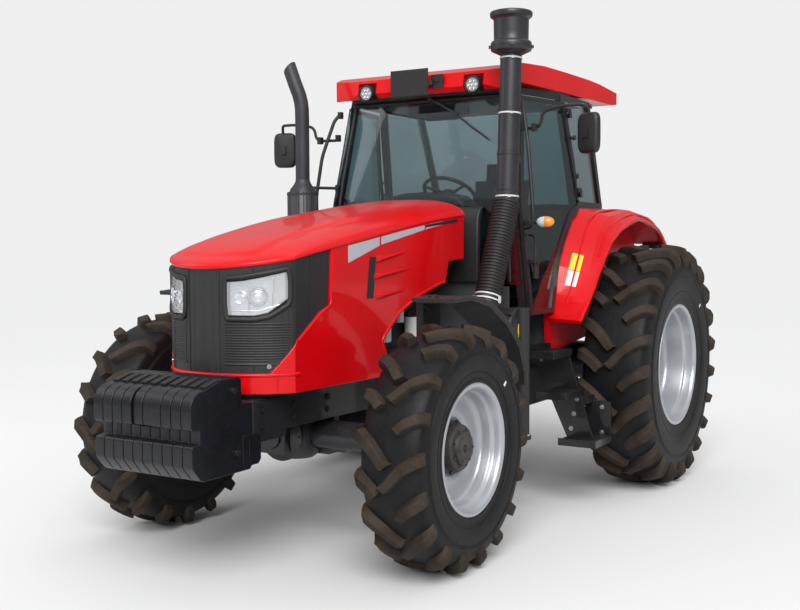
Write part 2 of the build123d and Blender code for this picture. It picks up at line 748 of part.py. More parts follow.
def bonnet_parts():
    outer = hood_form(0, HOOD_LOW_Z)
    inner = hood_form(HOOD_WALL, HOOD_LOW_Z - 50)
    back = block((-700, 700), (HOOD_REAR_Y - 1, HOOD_REAR_Y + 200), (500, 2300))
    shell = outer - inner - back
    lid = shell - below_seam(0)
    lid += hood_hinge_ears() & outer
    sides = (shell & below_seam(RUN_GAP)) - grille_region(0) - hood_arch()
    mesh = hood_form(GRILLE_INSET, HOOD_LIP_Z + RUN_GAP) - hood_form(GRILLE_INSET + 14, 900)
    mesh = (mesh & below_seam(RUN_GAP)) & grille_region(-RUN_GAP)
    window = cross_plate(LAMP_OUTLINE, (HOOD_NOSE_Y - 50, -1600))
    mesh -= window + mirrored(window)
    lamp = hood_form(-6, 1000) - hood_form(80, 900)
    lamp = lamp & cross_plate([(0.96 * x + 11, 0.97 * z + 45) for x, z in LAMP_OUTLINE], (-2200, -1600))
    lamp = lamp & below_seam(8)
    return lid, sides, mesh, pair(lamp)


def radiator():
    core = block((-330, 330), (-1480, -1330), (RAIL_Z[1], 1600))
    shroud = block((-300, 300), (-1330, -1250), (1000, 1560)) - rod((0, -1400, FAN_Z), (0, -1200, FAN_Z), 250)
    fan = rod((0, -1250, FAN_Z), (0, -1205, FAN_Z), 240)
    shaft = rod((0, -1205, FAN_Z), (0, ENGINE_Y[0], FAN_Z), 35)
    return core + shroud + fan + shaft


# ---------------------------------------------------------------- cab
def side_x(y, z):
    """Distance of the cab's side wall from the middle plane."""
    front = 641 + (2700 - z) * 0.12
    middle = 770 + (2683 - z) * 0.054
    rear = 728 + (2631 - z) * 0.017
    if y < WALL_Y[1]:
        return front + (middle - front) * (y - WALL_Y[0]) / (WALL_Y[1] - WALL_Y[0])
    return middle + (rear - middle) * (y - WALL_Y[1]) / (WALL_Y[2] - WALL_Y[1])


def line_y(points, z):
    """y of a rising line of (y, z, ...) points at a height."""
    for (y0, z0, *_), (y1, z1, *_) in zip(points, points[1:]):
        if z <= z1:
            break
    return y0 + (y1 - y0) * (z - z0) / (z1 - z0)


def a_post_y(z):
    """Middle of the front post at a height."""
    return line_y(A_POST, z)


def a_post():
    points = [post_point(y, z) for y, z, _ in A_POST]
    shape = Part() + [bar(a, b, POST, POST) for a, b in zip(points, points[1:])]
    return shape + [Pos(*p) * Box(POST, POST, POST) for p in points]


def post_pad(z):
    """Left pad on the front post's outer face, ahead of the door."""
    y = a_post_y(z)
    x = side_x(y, z)
    return block((x - 8, x + 14), (y - 20, y - 6), (z - 24, z + 24)) - a_post()


def pad_point(z):
    y = a_post_y(z)
    return (side_x(y, z) + 7, y - 13, z)


def post_point(y, z):
    return (side_x(y, z) - POST / 2, y, z)


def cab_frame():
    """Posts and rails; every post is square and its outer face lies in the side wall."""
    runs = [
        [post_point(y, z) for y, z, _ in A_POST],
        [post_point(y, z) for y, z in B_POST],
        [post_point(y, z) for y, z in C_POST],
        [post_point(*p[:2]) for p in (A_POST[-1], B_POST[-1], C_POST[-1])],
        [post_point(*p[:2]) for p in (B_POST[0], C_POST[0])],
        [post_point(*A_POST[0][:2]), post_point(500, A_POST[0][1])],
    ]
    shape = Part()
    for points in runs:
        for a, b in zip(points, points[1:]):
            shape += bar(a, b, POST, POST)
        for p in points:
            shape += Pos(*p) * Box(POST, POST, POST)
    shape = shape + mirrored(shape)
    for y, z in (A_POST[-1][:2], C_POST[-1][:2], C_POST[0][:2]):
        half = side_x(y, z) - POST
        shape += block((-half, half), (y - POST / 2, y + POST / 2), (z - POST / 2, z + POST / 2))
    return shape


def cab_floor():
    low = CAB_FLOOR_Z - FLOOR_WALL
    half = FENDER_X[0] - FENDER_WALL
    rear = C_POST[0][0] + POST / 2
    front = A_POST[0][0] - POST / 2
    step_y = 620
    shelf = 1270
    top = CAB_FLOOR_Z - POST / 2
    shape = block((-A_POST[0][2], A_POST[0][2]), (front - 45, 525), (low, top))
    shape += block((-half, half), (525, step_y), (low, top))
    shape += block((-half, half), (step_y, step_y + 40), (low, shelf))
    shape += block((-half, half), (step_y, rear), (shelf - 40, shelf))
    wall_x = side_x(rear, C_POST[0][1])
    shape += block((-wall_x, wall_x), (rear - 30, rear), (shelf, C_POST[0][1] - POST / 2))
    shape += block((-700, 700), (front - 30, front), (low, 1470))
    shape += block((-470, 470), (front - 30, front), (low, 1930))
    return shape + hood_hinge_arms()


def windscreen():
    """Bent pane in front of the A posts."""
    gap = POST / 2 + 11
    line = [(a_post_y(z) - gap, z) for z in (1480, A_POST[1][1], ROOF_Z[0] - 30)]
    strip = side_plate(line + [(y + GLASS, z) for y, z in reversed(line)], (-800, 800))
    edge = [(side_x(a_post_y(z), z) - 4, z) for z in (1480, A_POST[1][1], ROOF_Z[0] - 30)]
    trim = cross_plate(edge + [(-x, z) for x, z in reversed(edge)], (0, 600))
    return strip & trim


def rear_glass():
    """Rear window and the quarter lights behind the doors."""
    z0, z1 = C_POST[0][1] + POST / 2 + RUN_GAP, C_POST[-1][1] - POST / 2 - RUN_GAP
    low_y, high_y = [line_y(C_POST, z) for z in (z0, z1)]
    pane = side_plate([(low_y, z0), (high_y, z1), (high_y + GLASS, z1), (low_y + GLASS, z0)], (-800, 800))
    inset = POST + 4
    x0, x1 = side_x(low_y, z0) - inset, side_x(high_y, z1) - inset
    pane = pane & cross_plate([(-x0, z0), (x0, z0), (x1, z1), (-x1, z1)], (1000, 2000))
    faces = []
    for z in (z0, z1):
        y0, y1 = line_y(B_POST, z) + POST / 2 + 4, line_y(C_POST, z) - POST / 2 - 6
        points = [(side_x(y, z) - out, y) for y, out in ((y0, 16), (y1, 16), (y1, 16 + GLASS), (y0, 16 + GLASS))]
        faces.append(Plane.XY.offset(z) * make_face(Polyline(*points, close=True)))
    quarter = loft(faces, ruled=True)
    return Compound([*pane.solids(), *pair(quarter).solids()])


def roof():
    y0, y1 = ROOF_Y
    w = ROOF_HALF_W
    rear = [(w, y1 - 120), (600, y1), (-600, y1), (-w, y1 - 120)]
    plan = [(-w + 55, y0 + 60), (-500, y0), (500, y0), (w - 55, y0 + 60)] + rear
    low, high = ROOF_Z
    shape = side_plate(ROOF_SIDE, (-w - 10, w + 10)) & flat_plate(plan, (low - 10, high + 10))
    crown = [(w + 3, low - 10), (w + 3, high - 55), (w - 30, high - 29), (500, high - 15), (0, high)]
    shape &= cross_plate(crown + [(-x, z) for x, z in crown[-2::-1]], (y0 - 10, y1 + 10))
    bay = block((LAMP_X - 75, LAMP_X + 75), (y0 - 1, y0 + 75), (low - 10, LAMP_Z + LAMP_R + 12))
    return shape - bay - mirrored(bay)


def plate_holder():
    """Blank number-plate panel on the roof's front edge."""
    y = ROOF_Y[0]
    panel = block((-193, 102), (y - 50, y - 38), (2750, 2934))
    return panel + block((-70, -20), (y - 38, y - RUN_GAP), (2800, 2870))


def roof_liner():
    y0, y1 = ROOF_Y
    low = A_POST[-1][1] + POST / 2
    return block((-610, 610), (y0 + 60, y1 - 200), (low, ROOF_Z[0] + 40))


def door_outline(margin):
    """Door edge in (y, z), drawn in by margin."""
    low = 1285
    crown = [(y - margin, z + margin) for y, z in FENDER_INNER[1:6]]
    crown = [(y - 2.5 * DOOR_GAP, z + 2 * DOOR_GAP) for y, z in crown]
    foot = (line_y(FENDER_INNER[:2], low) - 2.5 * DOOR_GAP - margin, low + margin)
    top = 2735 - margin
    front = [(a_post_y(z) + 2 + margin, z) for z in (low + margin, A_POST[1][1], top)]
    rear = [(line_y(B_POST, z) - 20 - margin, z) for z in (top, 2060)]
    return front + rear + crown[::-1] + [foot]


def door_slab(outset, wall):
    """Twisted plate on the cab's side wall."""
    faces = []
    for y in (80, WALL_Y[1]):
        corners = [(1200, outset), (2800, outset), (2800, outset + wall), (1200, outset + wall)]
        plane = Plane(origin=(0, y, 0), x_dir=(1, 0, 0), z_dir=(0, -1, 0))
        points = [(side_x(y, z) + out, z) for z, out in corners]
        faces.append(plane * make_face(Polyline(*points, close=True)))
    slab = loft(faces, ruled=True)
    faces = []
    for y in (WALL_Y[1], 1100):
        plane = Plane(origin=(0, y, 0), x_dir=(1, 0, 0), z_dir=(0, -1, 0))
        points = [(side_x(y, z) + out, z) for z, out in corners]
        faces.append(plane * make_face(Polyline(*points, close=True)))
    return slab + loft(faces, ruled=True)


def hinge_axis():
    """Low and high hinge of the left door, outside the B post."""
    points = []
    for z in HINGE_Z:
        y = line_y(B_POST, z) - 6
        points.append(Vector(side_x(y, z) + HINGE_OUT, y, z))
    return points


def hinge_barrels(low, high, radius):
    """Barrels on the hinge axis, each from low to high about its hinge's middle."""
    a, b = hinge_axis()
    along = (b - a).normalized()
    return [rod(p + along * low, p + along * high, radius) for p in (a, b)]


def door_hinges():
    """The posts' halves of the left door's hinges, each with its pin."""
    shape = Part()
    for p in hinge_axis():
        x, y, z = p
        shape += block((x - HINGE_OUT - 8, x), (y - 2, y + 20), (z - 34, z - 6))
    shape += hinge_barrels(-34, -1, 13)
    shape += hinge_barrels(-34, 30, 6)
    return shape - b_post()


def b_post():
    points = [post_point(y, z) for y, z in B_POST]
    return bar(*points, POST, POST)


def door_parts():
    """Left door's frame and pane."""
    hole = side_plate(door_outline(34), (400, 1000))
    frame = (door_slab(6, 26) & side_plate(door_outline(0), (400, 1000))) - hole
    pins = hinge_barrels(-40, 40, 6 + RUN_GAP)
    for p in hinge_axis():
        x, y, z = p
        leaf = block((x - HINGE_OUT + 10, x + 4), (y - 46, y), (z + 2, z + 30))
        frame += leaf
    frame += hinge_barrels(RUN_GAP, 32, 13)
    pane = door_slab(14, GLASS) & hole
    return frame - pins, pane


def rear_fenders():
    x0, x1 = FENDER_X
    wall = FENDER_WALL
    faces = []
    for x, edge in ((x0, FENDER_INNER), (FENDER_CREST_X, FENDER_CREST), (x1, FENDER_OUTER)):
        under = [(y + wall * 0.5, z - wall) for y, z in edge]
        faces.append(Plane.YZ.offset(x) * make_face(Polyline(*edge, *under[::-1], close=True)))
    skin = loft(faces, ruled=True)
    low = CAB_FLOOR_Z - FLOOR_WALL
    foot = [(2200, 1280), (1600, 1100), (700, low), (FENDER_INNER[0][0] + 40, low)]
    side = side_plate(FENDER_INNER + foot, (x0 - wall, x0))
    return pair(skin + side)


def seat():
    base = block((-200, 200), (1050, 1400), (1270.3, 1560))
    cushion = block((-250, 250), (960, 1440), (1560, 1690))
    back = block((-240, 240), (1380, 1520), (1690, 2300))
    return base + cushion + back


def dashboard():
    low = CAB_FLOOR_Z - POST / 2
    column = block((-170, 170), (240, 420), (low, 1900))
    hump = block((-330, 330), (250, 430), (1900, 2090))
    shaft = rod((0, 400, 1950), (0, 640, 2110), 28)
    tilt = Plane(origin=(0, 640, 2110), z_dir=(0, 0.55, 0.84))
    return column + hump + shaft + tilt * Torus(190, 14) + tilt * Box(370, 40, 14)


# ---------------------------------------------------------------- outside fittings
def air_cleaner():
    y, z = CLEANER_Y, CLEANER_Z
    can = rod((700, y, z), (880, y, z), 140)
    tube = rod((895, -40, 1348), (895, -40, 516), 48)
    flare = rod((895, -40, 516), (895, -40, 540), 60)
    neck = block((760, 895), (-90, 10), (1180, 1340))
    elbow = rod(HOSE_LOW, ELBOW, HOSE_R - 8) + Pos(*ELBOW) * Sphere(HOSE_R - 8)
    elbow += rod(ELBOW, (ELBOW[0], y, z), HOSE_R - 8)
    bracket = block((600, 770), (-20, A_POST[0][0] - POST / 2 - 45), (1011, 1059))
    bracket += block((690, 740), (60, 118), (1050, 1240))
    return can + tube + flare + neck + elbow + bracket


def intake():
    top_z = STACK_TOP[2]
    cut = block((500, 1100), (-300, 400), (HOSE_TOP[2], 3300))
    below = block((500, 1100), (-300, 400), (1500, HOSE_TOP[2]))
    beyond = [b + (b - a) * 0.05 for a, b in zip(HOSE_LOW, HOSE_TOP)]
    before = [a - (b - a) * 0.05 for a, b in zip(HOSE_TOP, STACK_TOP)]
    hose = rod(HOSE_LOW, beyond, HOSE_R) - cut
    stack = rod(before, STACK_TOP, STACK_R) - below
    x, y = STACK_TOP[:2]
    # columns: low and high above the stack, radius
    for low, high, radius in ((0, 80, 130), (80, 230, 112), (230, 270, 135)):
        stack += rod((x, y, top_z + low), (x, y, top_z + high), radius)
    for z in (2300, 2560):
        share = (z - HOSE_TOP[2]) / (top_z - HOSE_TOP[2])
        start = [a + (b - a) * share for a, b in zip(HOSE_TOP, STACK_TOP)]
        stack += bar(start, pad_point(z), 30, 10, (0, 0, 1)) + post_pad(z)
    return stack - a_post(), hose


def exhaust():
    x, y = EXHAUST_X, EXHAUST_Y
    guard = rod((x, y, 1500), (x, y, 2120), EXHAUST_GUARD_R)
    cone = Pos(x, y, 2150) * Cone(EXHAUST_GUARD_R, EXHAUST_R, 60)
    stem = rod((x, y, 2180), (x, y, 2720), EXHAUST_R)
    tip = rod((x, y, 2700), (x - 40, y - 10, 3010), EXHAUST_R)
    feed = rod((x, y, 1560), (-ENGINE_X + 30, y - 200, 1380), 45) - engine_block()
    z = 2152
    stay = mirrored(bar((-x, y, z), pad_point(z), 30, 10, (0, 0, 1)) + post_pad(z) - a_post())
    return guard + cone + stem + tip + feed + stay


def steps():
    # columns: inner x, outer x, front y, rear y, z of the tread
    treads = [(846, 1010, 180, 480, 1040), (880, 1080, 220, 520, 773), (1000, 1250, 300, 590, 465)]
    shape = None
    for x0, x1, y0, y1, z in treads:
        tread = block((x0, x1), (y0, y1), (z - 30, z))
        shape = tread if shape is None else shape + tread
    floor = CAB_FLOOR_Z - FLOOR_WALL
    side = [(770, floor), (1000, floor), (1180, 440), (1000, 440), (860, 740), (770, 900)]
    cheek = cross_plate(side, (460, 480))
    plate = block((1000, 1250), (580, 600), (435, 700))
    hanger = block((710, 860), (300, 460), (960, floor))
    shape += cheek + plate + hanger + block((880, 1130), (480, 600), (690, 740))
    return pair(shape)


def fuel_tank():
    body = block((-690, -330), (200, 980), (560, 950))
    body = fillet(body.edges().filter_by(Axis.Y), 60)
    for y in (430, 800):
        body += block((-340, -GEARBOX_X), (y - 30, y + 30), (700, 760))
    return body


def battery_box():
    body = block((330, 690), (330, 900), (640, 950))
    return body + block((GEARBOX_X, 340), (500, 700), (700, 800))


def mirrors():
    top = (720, 312, 2680)
    low = (870, 175, 1880)
    clamp = (750, 285, 2516)
    arm = rod(clamp, (1150, 210, 2600), 12)
    arm += rod((1150, 210, 2600), (1206, 265, 2500), 12)
    head = Plane(origin=(1206, 282, 2450), x_dir=(0.93, -0.37, 0), z_dir=(0, 0, 1)) * Box(170, 50, 250)
    shape = arm + head + rod(top, low, 15)
    for x, y, z in (top, low):
        shape += rod((x, y, z), pad_point(z), 6) + post_pad(z)
    shape += rod((870, 176, 1889), (950, 160, 1889), 12) + rod((950, 128, 1889), (950, 193, 1889), 52)
    return pair(shape - a_post())


def cab_lamps():
    y = ROOF_Y[0]
    return pair(rod((LAMP_X, y - 14, LAMP_Z), (LAMP_X, y + 60, LAMP_Z), LAMP_R))


# ---------------------------------------------------------------- assembly
def nodes():
    out = wheels()
    lid, sides, mesh, lamps = bonnet_parts()
    frame, pane = door_parts()
    stack, hose = intake()
    left_knuckle = knuckle()
    left_fender = front_fender()
    out.update(
        front_support=front_support(),
        front_weights=front_weights(),
        front_axle_beam=front_axle_beam(),
        steering_rod=steering_rod(),
        knuckle_left=left_knuckle,
        knuckle_right=mirrored(left_knuckle),
        front_fender_left=left_fender,
        front_fender_right=mirrored(left_fender),
        engine=engine(),
        gearbox=gearbox(),
        rear_axle=rear_axle(),
        drawbar=drawbar(),
        lift_arms=lift_arms(),
        lower_links=lower_links(),
        lift_rods=lift_rods(),
        top_link=top_link(),
        bonnet_lid=lid,
        bonnet_sides=sides,
        grille=mesh,
        headlamps=lamps,
        radiator=radiator(),
        cab_frame=cab_frame() + pair(door_hinges()),
        cab_floor=cab_floor(),
        windscreen=windscreen(),
        rear_glass=rear_glass(),
        roof=roof(),
        roof_liner=roof_liner(),
        door_left=frame,
        door_right=mirrored(frame),
        door_glass_left=pane,
        door_glass_right=mirrored(pane),
        rear_fenders=rear_fenders(),
        operator_seat=seat(),
        dashboard=dashboard(),
        air_cleaner=air_cleaner(),
        intake_stack=stack,
        intake_hose=hose,
        exhaust=exhaust(),
        steps=steps(),
        fuel_tank=fuel_tank(),
        battery_box=battery_box(),
        mirrors=mirrors(),
        cab_lamps=cab_lamps(),
        plate_holder=plate_holder(),
    )
    return out


os.makedirs("parts", exist_ok=True)
for name, shape in nodes().items():
    export_step(Pos(0, -MIDDLE_Y, 0) * shape, f"parts/{name}.step")
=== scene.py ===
import json
from math import cos, hypot, pi, radians, sin, sqrt

import bmesh
import bpy
from mathutils import Matrix, Vector
from mathutils.bvhtree import BVHTree


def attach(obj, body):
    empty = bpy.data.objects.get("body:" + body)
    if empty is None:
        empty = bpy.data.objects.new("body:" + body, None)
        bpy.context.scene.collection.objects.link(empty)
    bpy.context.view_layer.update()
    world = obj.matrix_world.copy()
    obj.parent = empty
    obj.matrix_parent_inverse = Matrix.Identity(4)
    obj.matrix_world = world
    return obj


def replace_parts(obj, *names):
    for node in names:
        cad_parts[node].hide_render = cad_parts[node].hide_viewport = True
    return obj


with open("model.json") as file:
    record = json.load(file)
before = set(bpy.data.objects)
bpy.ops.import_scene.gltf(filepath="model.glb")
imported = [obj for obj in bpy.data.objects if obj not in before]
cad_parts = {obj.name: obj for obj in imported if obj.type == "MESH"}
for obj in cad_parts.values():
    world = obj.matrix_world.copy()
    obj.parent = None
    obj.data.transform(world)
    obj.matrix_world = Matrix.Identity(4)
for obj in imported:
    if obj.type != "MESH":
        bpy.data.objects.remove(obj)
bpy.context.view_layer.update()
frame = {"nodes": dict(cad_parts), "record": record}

NODES = frame["nodes"]
BODY_OF = {node: body for body, nodes in frame["record"]["behaviour"]["bodies"].items() for node in nodes}

# Metres. The front faces -Y, the tractor's left is +X, +Z is up.
FRONT_Y = -1.1955             # front axle
REAR_Y = 1.4925               # rear axle
FRONT_R = 0.665               # tyre radius over the lugs
REAR_R = 0.870
CORE = 0.0005                 # bore left on the axis of a turned solid


# ---------------------------------------------------------------- materials
def join(tree, value, socket):
    """A value on the socket itself, or a link from another node's output."""
    if isinstance(value, bpy.types.NodeSocket):
        tree.links.new(value, socket)
    else:
        socket.default_value = value


def add(tree, kind, sockets=(), **settings):
    node = tree.nodes.new(kind)
    for key, value in settings.items():
        setattr(node, key, value)
    for key, value in dict(sockets).items():
        join(tree, value, node.inputs[key])
    return node


def noise(tree, coords, scale, detail=4.0, rough=0.55):
    sockets = {"Scale": scale, "Detail": detail, "Roughness": rough, "Vector": coords}
    return add(tree, "ShaderNodeTexNoise", sockets).outputs["Fac"]


def ramp(tree, value, low, high, a=0.0, b=1.0):
    sockets = {"Value": value, "From Min": low, "From Max": high, "To Min": a, "To Max": b}
    return add(tree, "ShaderNodeMapRange", sockets).outputs["Result"]


def mix(tree, share, a, b):
    a, b = [(*c, 1.0) if isinstance(c, tuple) else c for c in (a, b)]
    return add(tree, "ShaderNodeMix", {0: share, 6: a, 7: b}, data_type="RGBA").outputs[2]


def times(tree, a, b):
    return add(tree, "ShaderNodeMath", {0: a, 1: b}, operation="MULTIPLY").outputs[0]


def bump_of(tree, height, strength, distance):
    return add(tree, "ShaderNodeBump",
               {"Strength": strength, "Distance": distance, "Height": height}).outputs["Normal"]


def drift(tree, coords, scale, colour, dark):
    """Colour that drifts between itself and a darker share of itself."""
    darker = tuple(c * dark for c in colour)
    return mix(tree, ramp(tree, noise(tree, coords, scale), 0.3, 0.7), darker, colour)


def blank(name):
    mat = bpy.data.materials.new(name)
    mat.use_nodes = True
    return mat, mat.node_tree, add(mat.node_tree, "ShaderNodeTexCoord").outputs["Object"]


def fill(mat, sockets):
    shader = mat.node_tree.nodes["Principled BSDF"]
    for key, value in sockets.items():
        join(mat.node_tree, value, shader.inputs[key])
    return mat


def surface(name, colour, rough, metal=0.0, vary=0.12, scale=6.0, coat=0.0, bump=0.0, bump_scale=60.0,
            dust=0.0, dust_colour=(0.16, 0.12, 0.085), spread=0.06, shine=0.5):
    """Finish whose colour and roughness drift, with dust mostly on what faces up."""
    mat, tree, coords = blank(name)
    fine = noise(tree, coords, scale * 11, 6.0, 0.65)
    dark, light = [tuple(min(1.0, c * k) for c in colour) for k in (1 - vary, 1 + vary)]
    paint = mix(tree, ramp(tree, noise(tree, coords, scale), 0.35, 0.65), dark, light)
    if dust:
        normal = add(tree, "ShaderNodeNewGeometry").outputs["Normal"]
        height = add(tree, "ShaderNodeSeparateXYZ", {0: normal}).outputs["Z"]
        upward = ramp(tree, height, -0.3, 1.0, 0.25, 1.0)
        cover = times(tree, times(tree, upward, ramp(tree, fine, 0.35, 0.7)), dust)
        paint = mix(tree, cover, paint, dust_colour)
    sockets = {
        "Base Color": paint,
        "Roughness": ramp(tree, fine, 0.3, 0.7, max(0.02, rough - spread), min(1.0, rough + spread)),
        "Metallic": metal,
        "Specular IOR Level": shine,
        "Coat Weight": coat,
        "Coat Roughness": 0.06,
    }
    if bump:
        sockets["Normal"] = bump_of(tree, noise(tree, coords, bump_scale, 5.0, 0.6), bump, 0.004)
    return fill(mat, sockets)


def glass(name, tint, rough=0.0, see=0.0, clear=1.0):
    """Clear solid glass, or a see-through skin where see is above nothing."""
    mat, tree, coords = blank(name)
    return fill(mat, {
        "Base Color": drift(tree, coords, 2.5, tint, 0.9),
        "Roughness": ramp(tree, noise(tree, coords, 9.0), 0.3, 0.7, rough, rough + 0.03),
        "IOR": 1.45,
        "Transmission Weight": clear,
        "Alpha": 1 - see,
        "Coat Weight": 0.5,
    })


def lens(name, tint):
    mat, tree, coords = blank(name)
    return fill(mat, {
        "Base Color": drift(tree, coords, 40.0, tint, 0.8),
        "Roughness": ramp(tree, noise(tree, coords, 20.0), 0.3, 0.7, 0.03, 0.1),
        "Coat Weight": 0.8,
    })


def pierced(name, colour, hole, scale):
    """Sheet metal with rows of small holes."""
    mat, tree, coords = blank(name)
    cells = add(tree, "ShaderNodeTexVoronoi", {"Scale": scale, "Randomness": 0.0, "Vector": coords})
    sheet = ramp(tree, cells.outputs["Distance"], 0.30, 0.42)
    return fill(mat, {
        "Base Color": mix(tree, sheet, hole, drift(tree, coords, 5.0, colour, 0.8)),
        "Roughness": ramp(tree, sheet, 0.0, 1.0, 0.9, 0.42),
        "Normal": bump_of(tree, sheet, 0.5, 0.002),
    })


MATS = {
    "red": surface("red_paint", (0.62, 0.001, 0.004), 0.34, vary=0.04, scale=2.0,
                   coat=0.32, spread=0.03, shine=0.2),
    "black_paint": surface("black_paint", (0.007, 0.007, 0.009), 0.36, vary=0.2, coat=0.3, dust=0.10),
    "plastic": surface("black_plastic", (0.011, 0.011, 0.013), 0.48, vary=0.2,
                       bump=0.15, bump_scale=300, dust=0.12),
    "mesh": pierced("grille_mesh", (0.022, 0.022, 0.023), (0.008, 0.008, 0.009), 190.0),
    "guard": pierced("guard_mesh", (0.035, 0.037, 0.042), (0.003, 0.003, 0.003), 62.0),
    "chassis": surface("chassis_paint", (0.008, 0.009, 0.013), 0.42, vary=0.25, coat=0.2,
                       bump=0.2, bump_scale=90, dust=0.22),
    "weight": surface("weight_paint", (0.005, 0.006, 0.010), 0.38, vary=0.25, coat=0.2, bump=0.3,
                      bump_scale=70, dust=0.07, shine=0.3),
    "iron": surface("engine_iron", (0.014, 0.015, 0.017), 0.55, metal=0.3, vary=0.3,
                    bump=0.4, bump_scale=80, dust=0.2),
    "radiator": surface("radiator_metal", (0.05, 0.05, 0.052), 0.5, metal=0.5, vary=0.2, dust=0.1),
    "silver": surface("wheel_silver", (0.40, 0.41, 0.44), 0.33, metal=0.45, vary=0.06,
                      scale=4, coat=0.2, dust=0.06),
    "hub": surface("hub_iron", (0.045, 0.043, 0.042), 0.5, metal=0.4, vary=0.3,
                   bump=0.35, bump_scale=110, dust=0.25),
    "tyre": surface("tyre_casing", (0.006, 0.006, 0.007), 0.52, vary=0.3, scale=5, bump=0.35, bump_scale=55,
                    dust=0.22, dust_colour=(0.035, 0.025, 0.018), shine=0.22),
    "lug": surface("tyre_lug", (0.028, 0.021, 0.016), 0.72, vary=0.4, scale=9, bump=0.45, bump_scale=70,
                   dust=0.42, dust_colour=(0.085, 0.060, 0.040), shine=0.2),
    "rubber": surface("black_rubber", (0.010, 0.010, 0.011), 0.55, vary=0.2,
                      bump=0.2, bump_scale=120, dust=0.1),
    "glass": glass("cab_glass", (0.26, 0.47, 0.49)),
    "screen": glass("windscreen_glass", (0.70, 0.85, 0.88)),
    "clear": glass("lamp_cover", (0.85, 0.88, 0.9), rough=0.02, see=0.8, clear=0.0),
    "chrome": surface("reflector", (0.72, 0.74, 0.77), 0.16, metal=1.0, vary=0.08, spread=0.04),
    "steel": surface("bright_steel", (0.42, 0.42, 0.44), 0.35, metal=0.85, vary=0.12, dust=0.1),
    "fabric": surface("seat_fabric", (0.02, 0.02, 0.024), 0.8, vary=0.25, scale=30, bump=0.5, bump_scale=400),
    "trim": surface("cab_trim", (0.05, 0.052, 0.056), 0.6, vary=0.15, bump=0.2, bump_scale=250),
    "stack": surface("stack_paint", (0.016, 0.017, 0.021), 0.42, vary=0.15, coat=0.15, dust=0.05),
    "exhaust": surface("exhaust_paint", (0.03, 0.032, 0.038), 0.5, metal=0.2, vary=0.2, dust=0.06),
    "lens": lens("lamp_lens", (0.62, 0.65, 0.68)),
    "amber": lens("amber_lens", (0.9, 0.28, 0.02)),
    "red_lens": lens("red_lens", (0.6, 0.01, 0.01)),
    "white": surface("white_mark", (0.75, 0.74, 0.72), 0.5, vary=0.05),
    "yellow": surface("yellow_paint", (0.85, 0.55, 0.01), 0.4, vary=0.06),
    "stripe": surface("silver_stripe", (0.50, 0.51, 0.54), 0.30, metal=0.2,
                      vary=0.03, coat=0.4, spread=0.015),
    "filter": surface("filter_white", (0.6, 0.6, 0.6), 0.4, vary=0.06, dust=0.1),
    "mirror": surface("mirror_face", (0.55, 0.6, 0.62), 0.03, metal=1.0, vary=0.03, spread=0.01),
}
# The finish of each imported node.
LOOKS = {
    "red": ["bonnet_lid", "bonnet_sides", "roof", "rear_fenders"],
    "mesh": ["grille"],
    "clear": ["headlamps"],
    "lens": ["cab_lamps"],
    "glass": ["door_glass_left", "door_glass_right"],
    "screen": ["windscreen", "rear_glass"],
    "black_paint": ["door_left", "door_right", "cab_frame", "steps", "battery_box"],
    "plastic": ["front_fender_left", "front_fender_right", "air_cleaner", "mirrors",
                "plate_holder", "fuel_tank", "roof_liner"],
    "trim": ["dashboard", "cab_floor"],
    "fabric": ["operator_seat"],
    "weight": ["front_weights"],
    "chassis": ["front_support", "front_axle_beam", "knuckle_left", "knuckle_right", "gearbox", "rear_axle",
                "drawbar", "lift_arms", "lower_links", "lift_rods"],
    "iron": ["engine"],
    "radiator": ["radiator"],
    "steel": ["steering_rod", "top_link"],
    "stack": ["intake_stack"],
    "rubber": ["intake_hose"],
    "exhaust": ["exhaust"],
    "silver": ["rim_front_left", "rim_front_right", "rim_rear_left", "rim_rear_right",
               "hub_rear_left", "hub_rear_right"],
    "hub": ["hub_front_left", "hub_front_right"],
}
LOOK_OF = {node: look for look, nodes in LOOKS.items() for node in nodes}
for node, look in LOOK_OF.items():
    NODES[node].data.materials.clear()
    NODES[node].data.materials.append(MATS[look])


# ---------------------------------------------------------------- mesh building
def put(me, name, mat, body, angle, bevel=0.0, segments=2, sharp=30):
    """A mesh as an object with its finish, rounded edges and body."""
    me.polygons.foreach_set("use_smooth", [True] * len(me.polygons))
    me.set_sharp_from_angle(angle=radians(angle))
    me.materials.clear()
    me.materials.append(MATS[mat])
    ob = bpy.data.objects.new(name, me)
    bpy.context.scene.collection.objects.link(ob)
    if bevel:
        mod = ob.modifiers.new("bevel", "BEVEL")
        mod.width = bevel
        mod.segments = segments
        mod.limit_method = "ANGLE"
        mod.angle_limit = radians(sharp)
    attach(ob, body)
    return ob


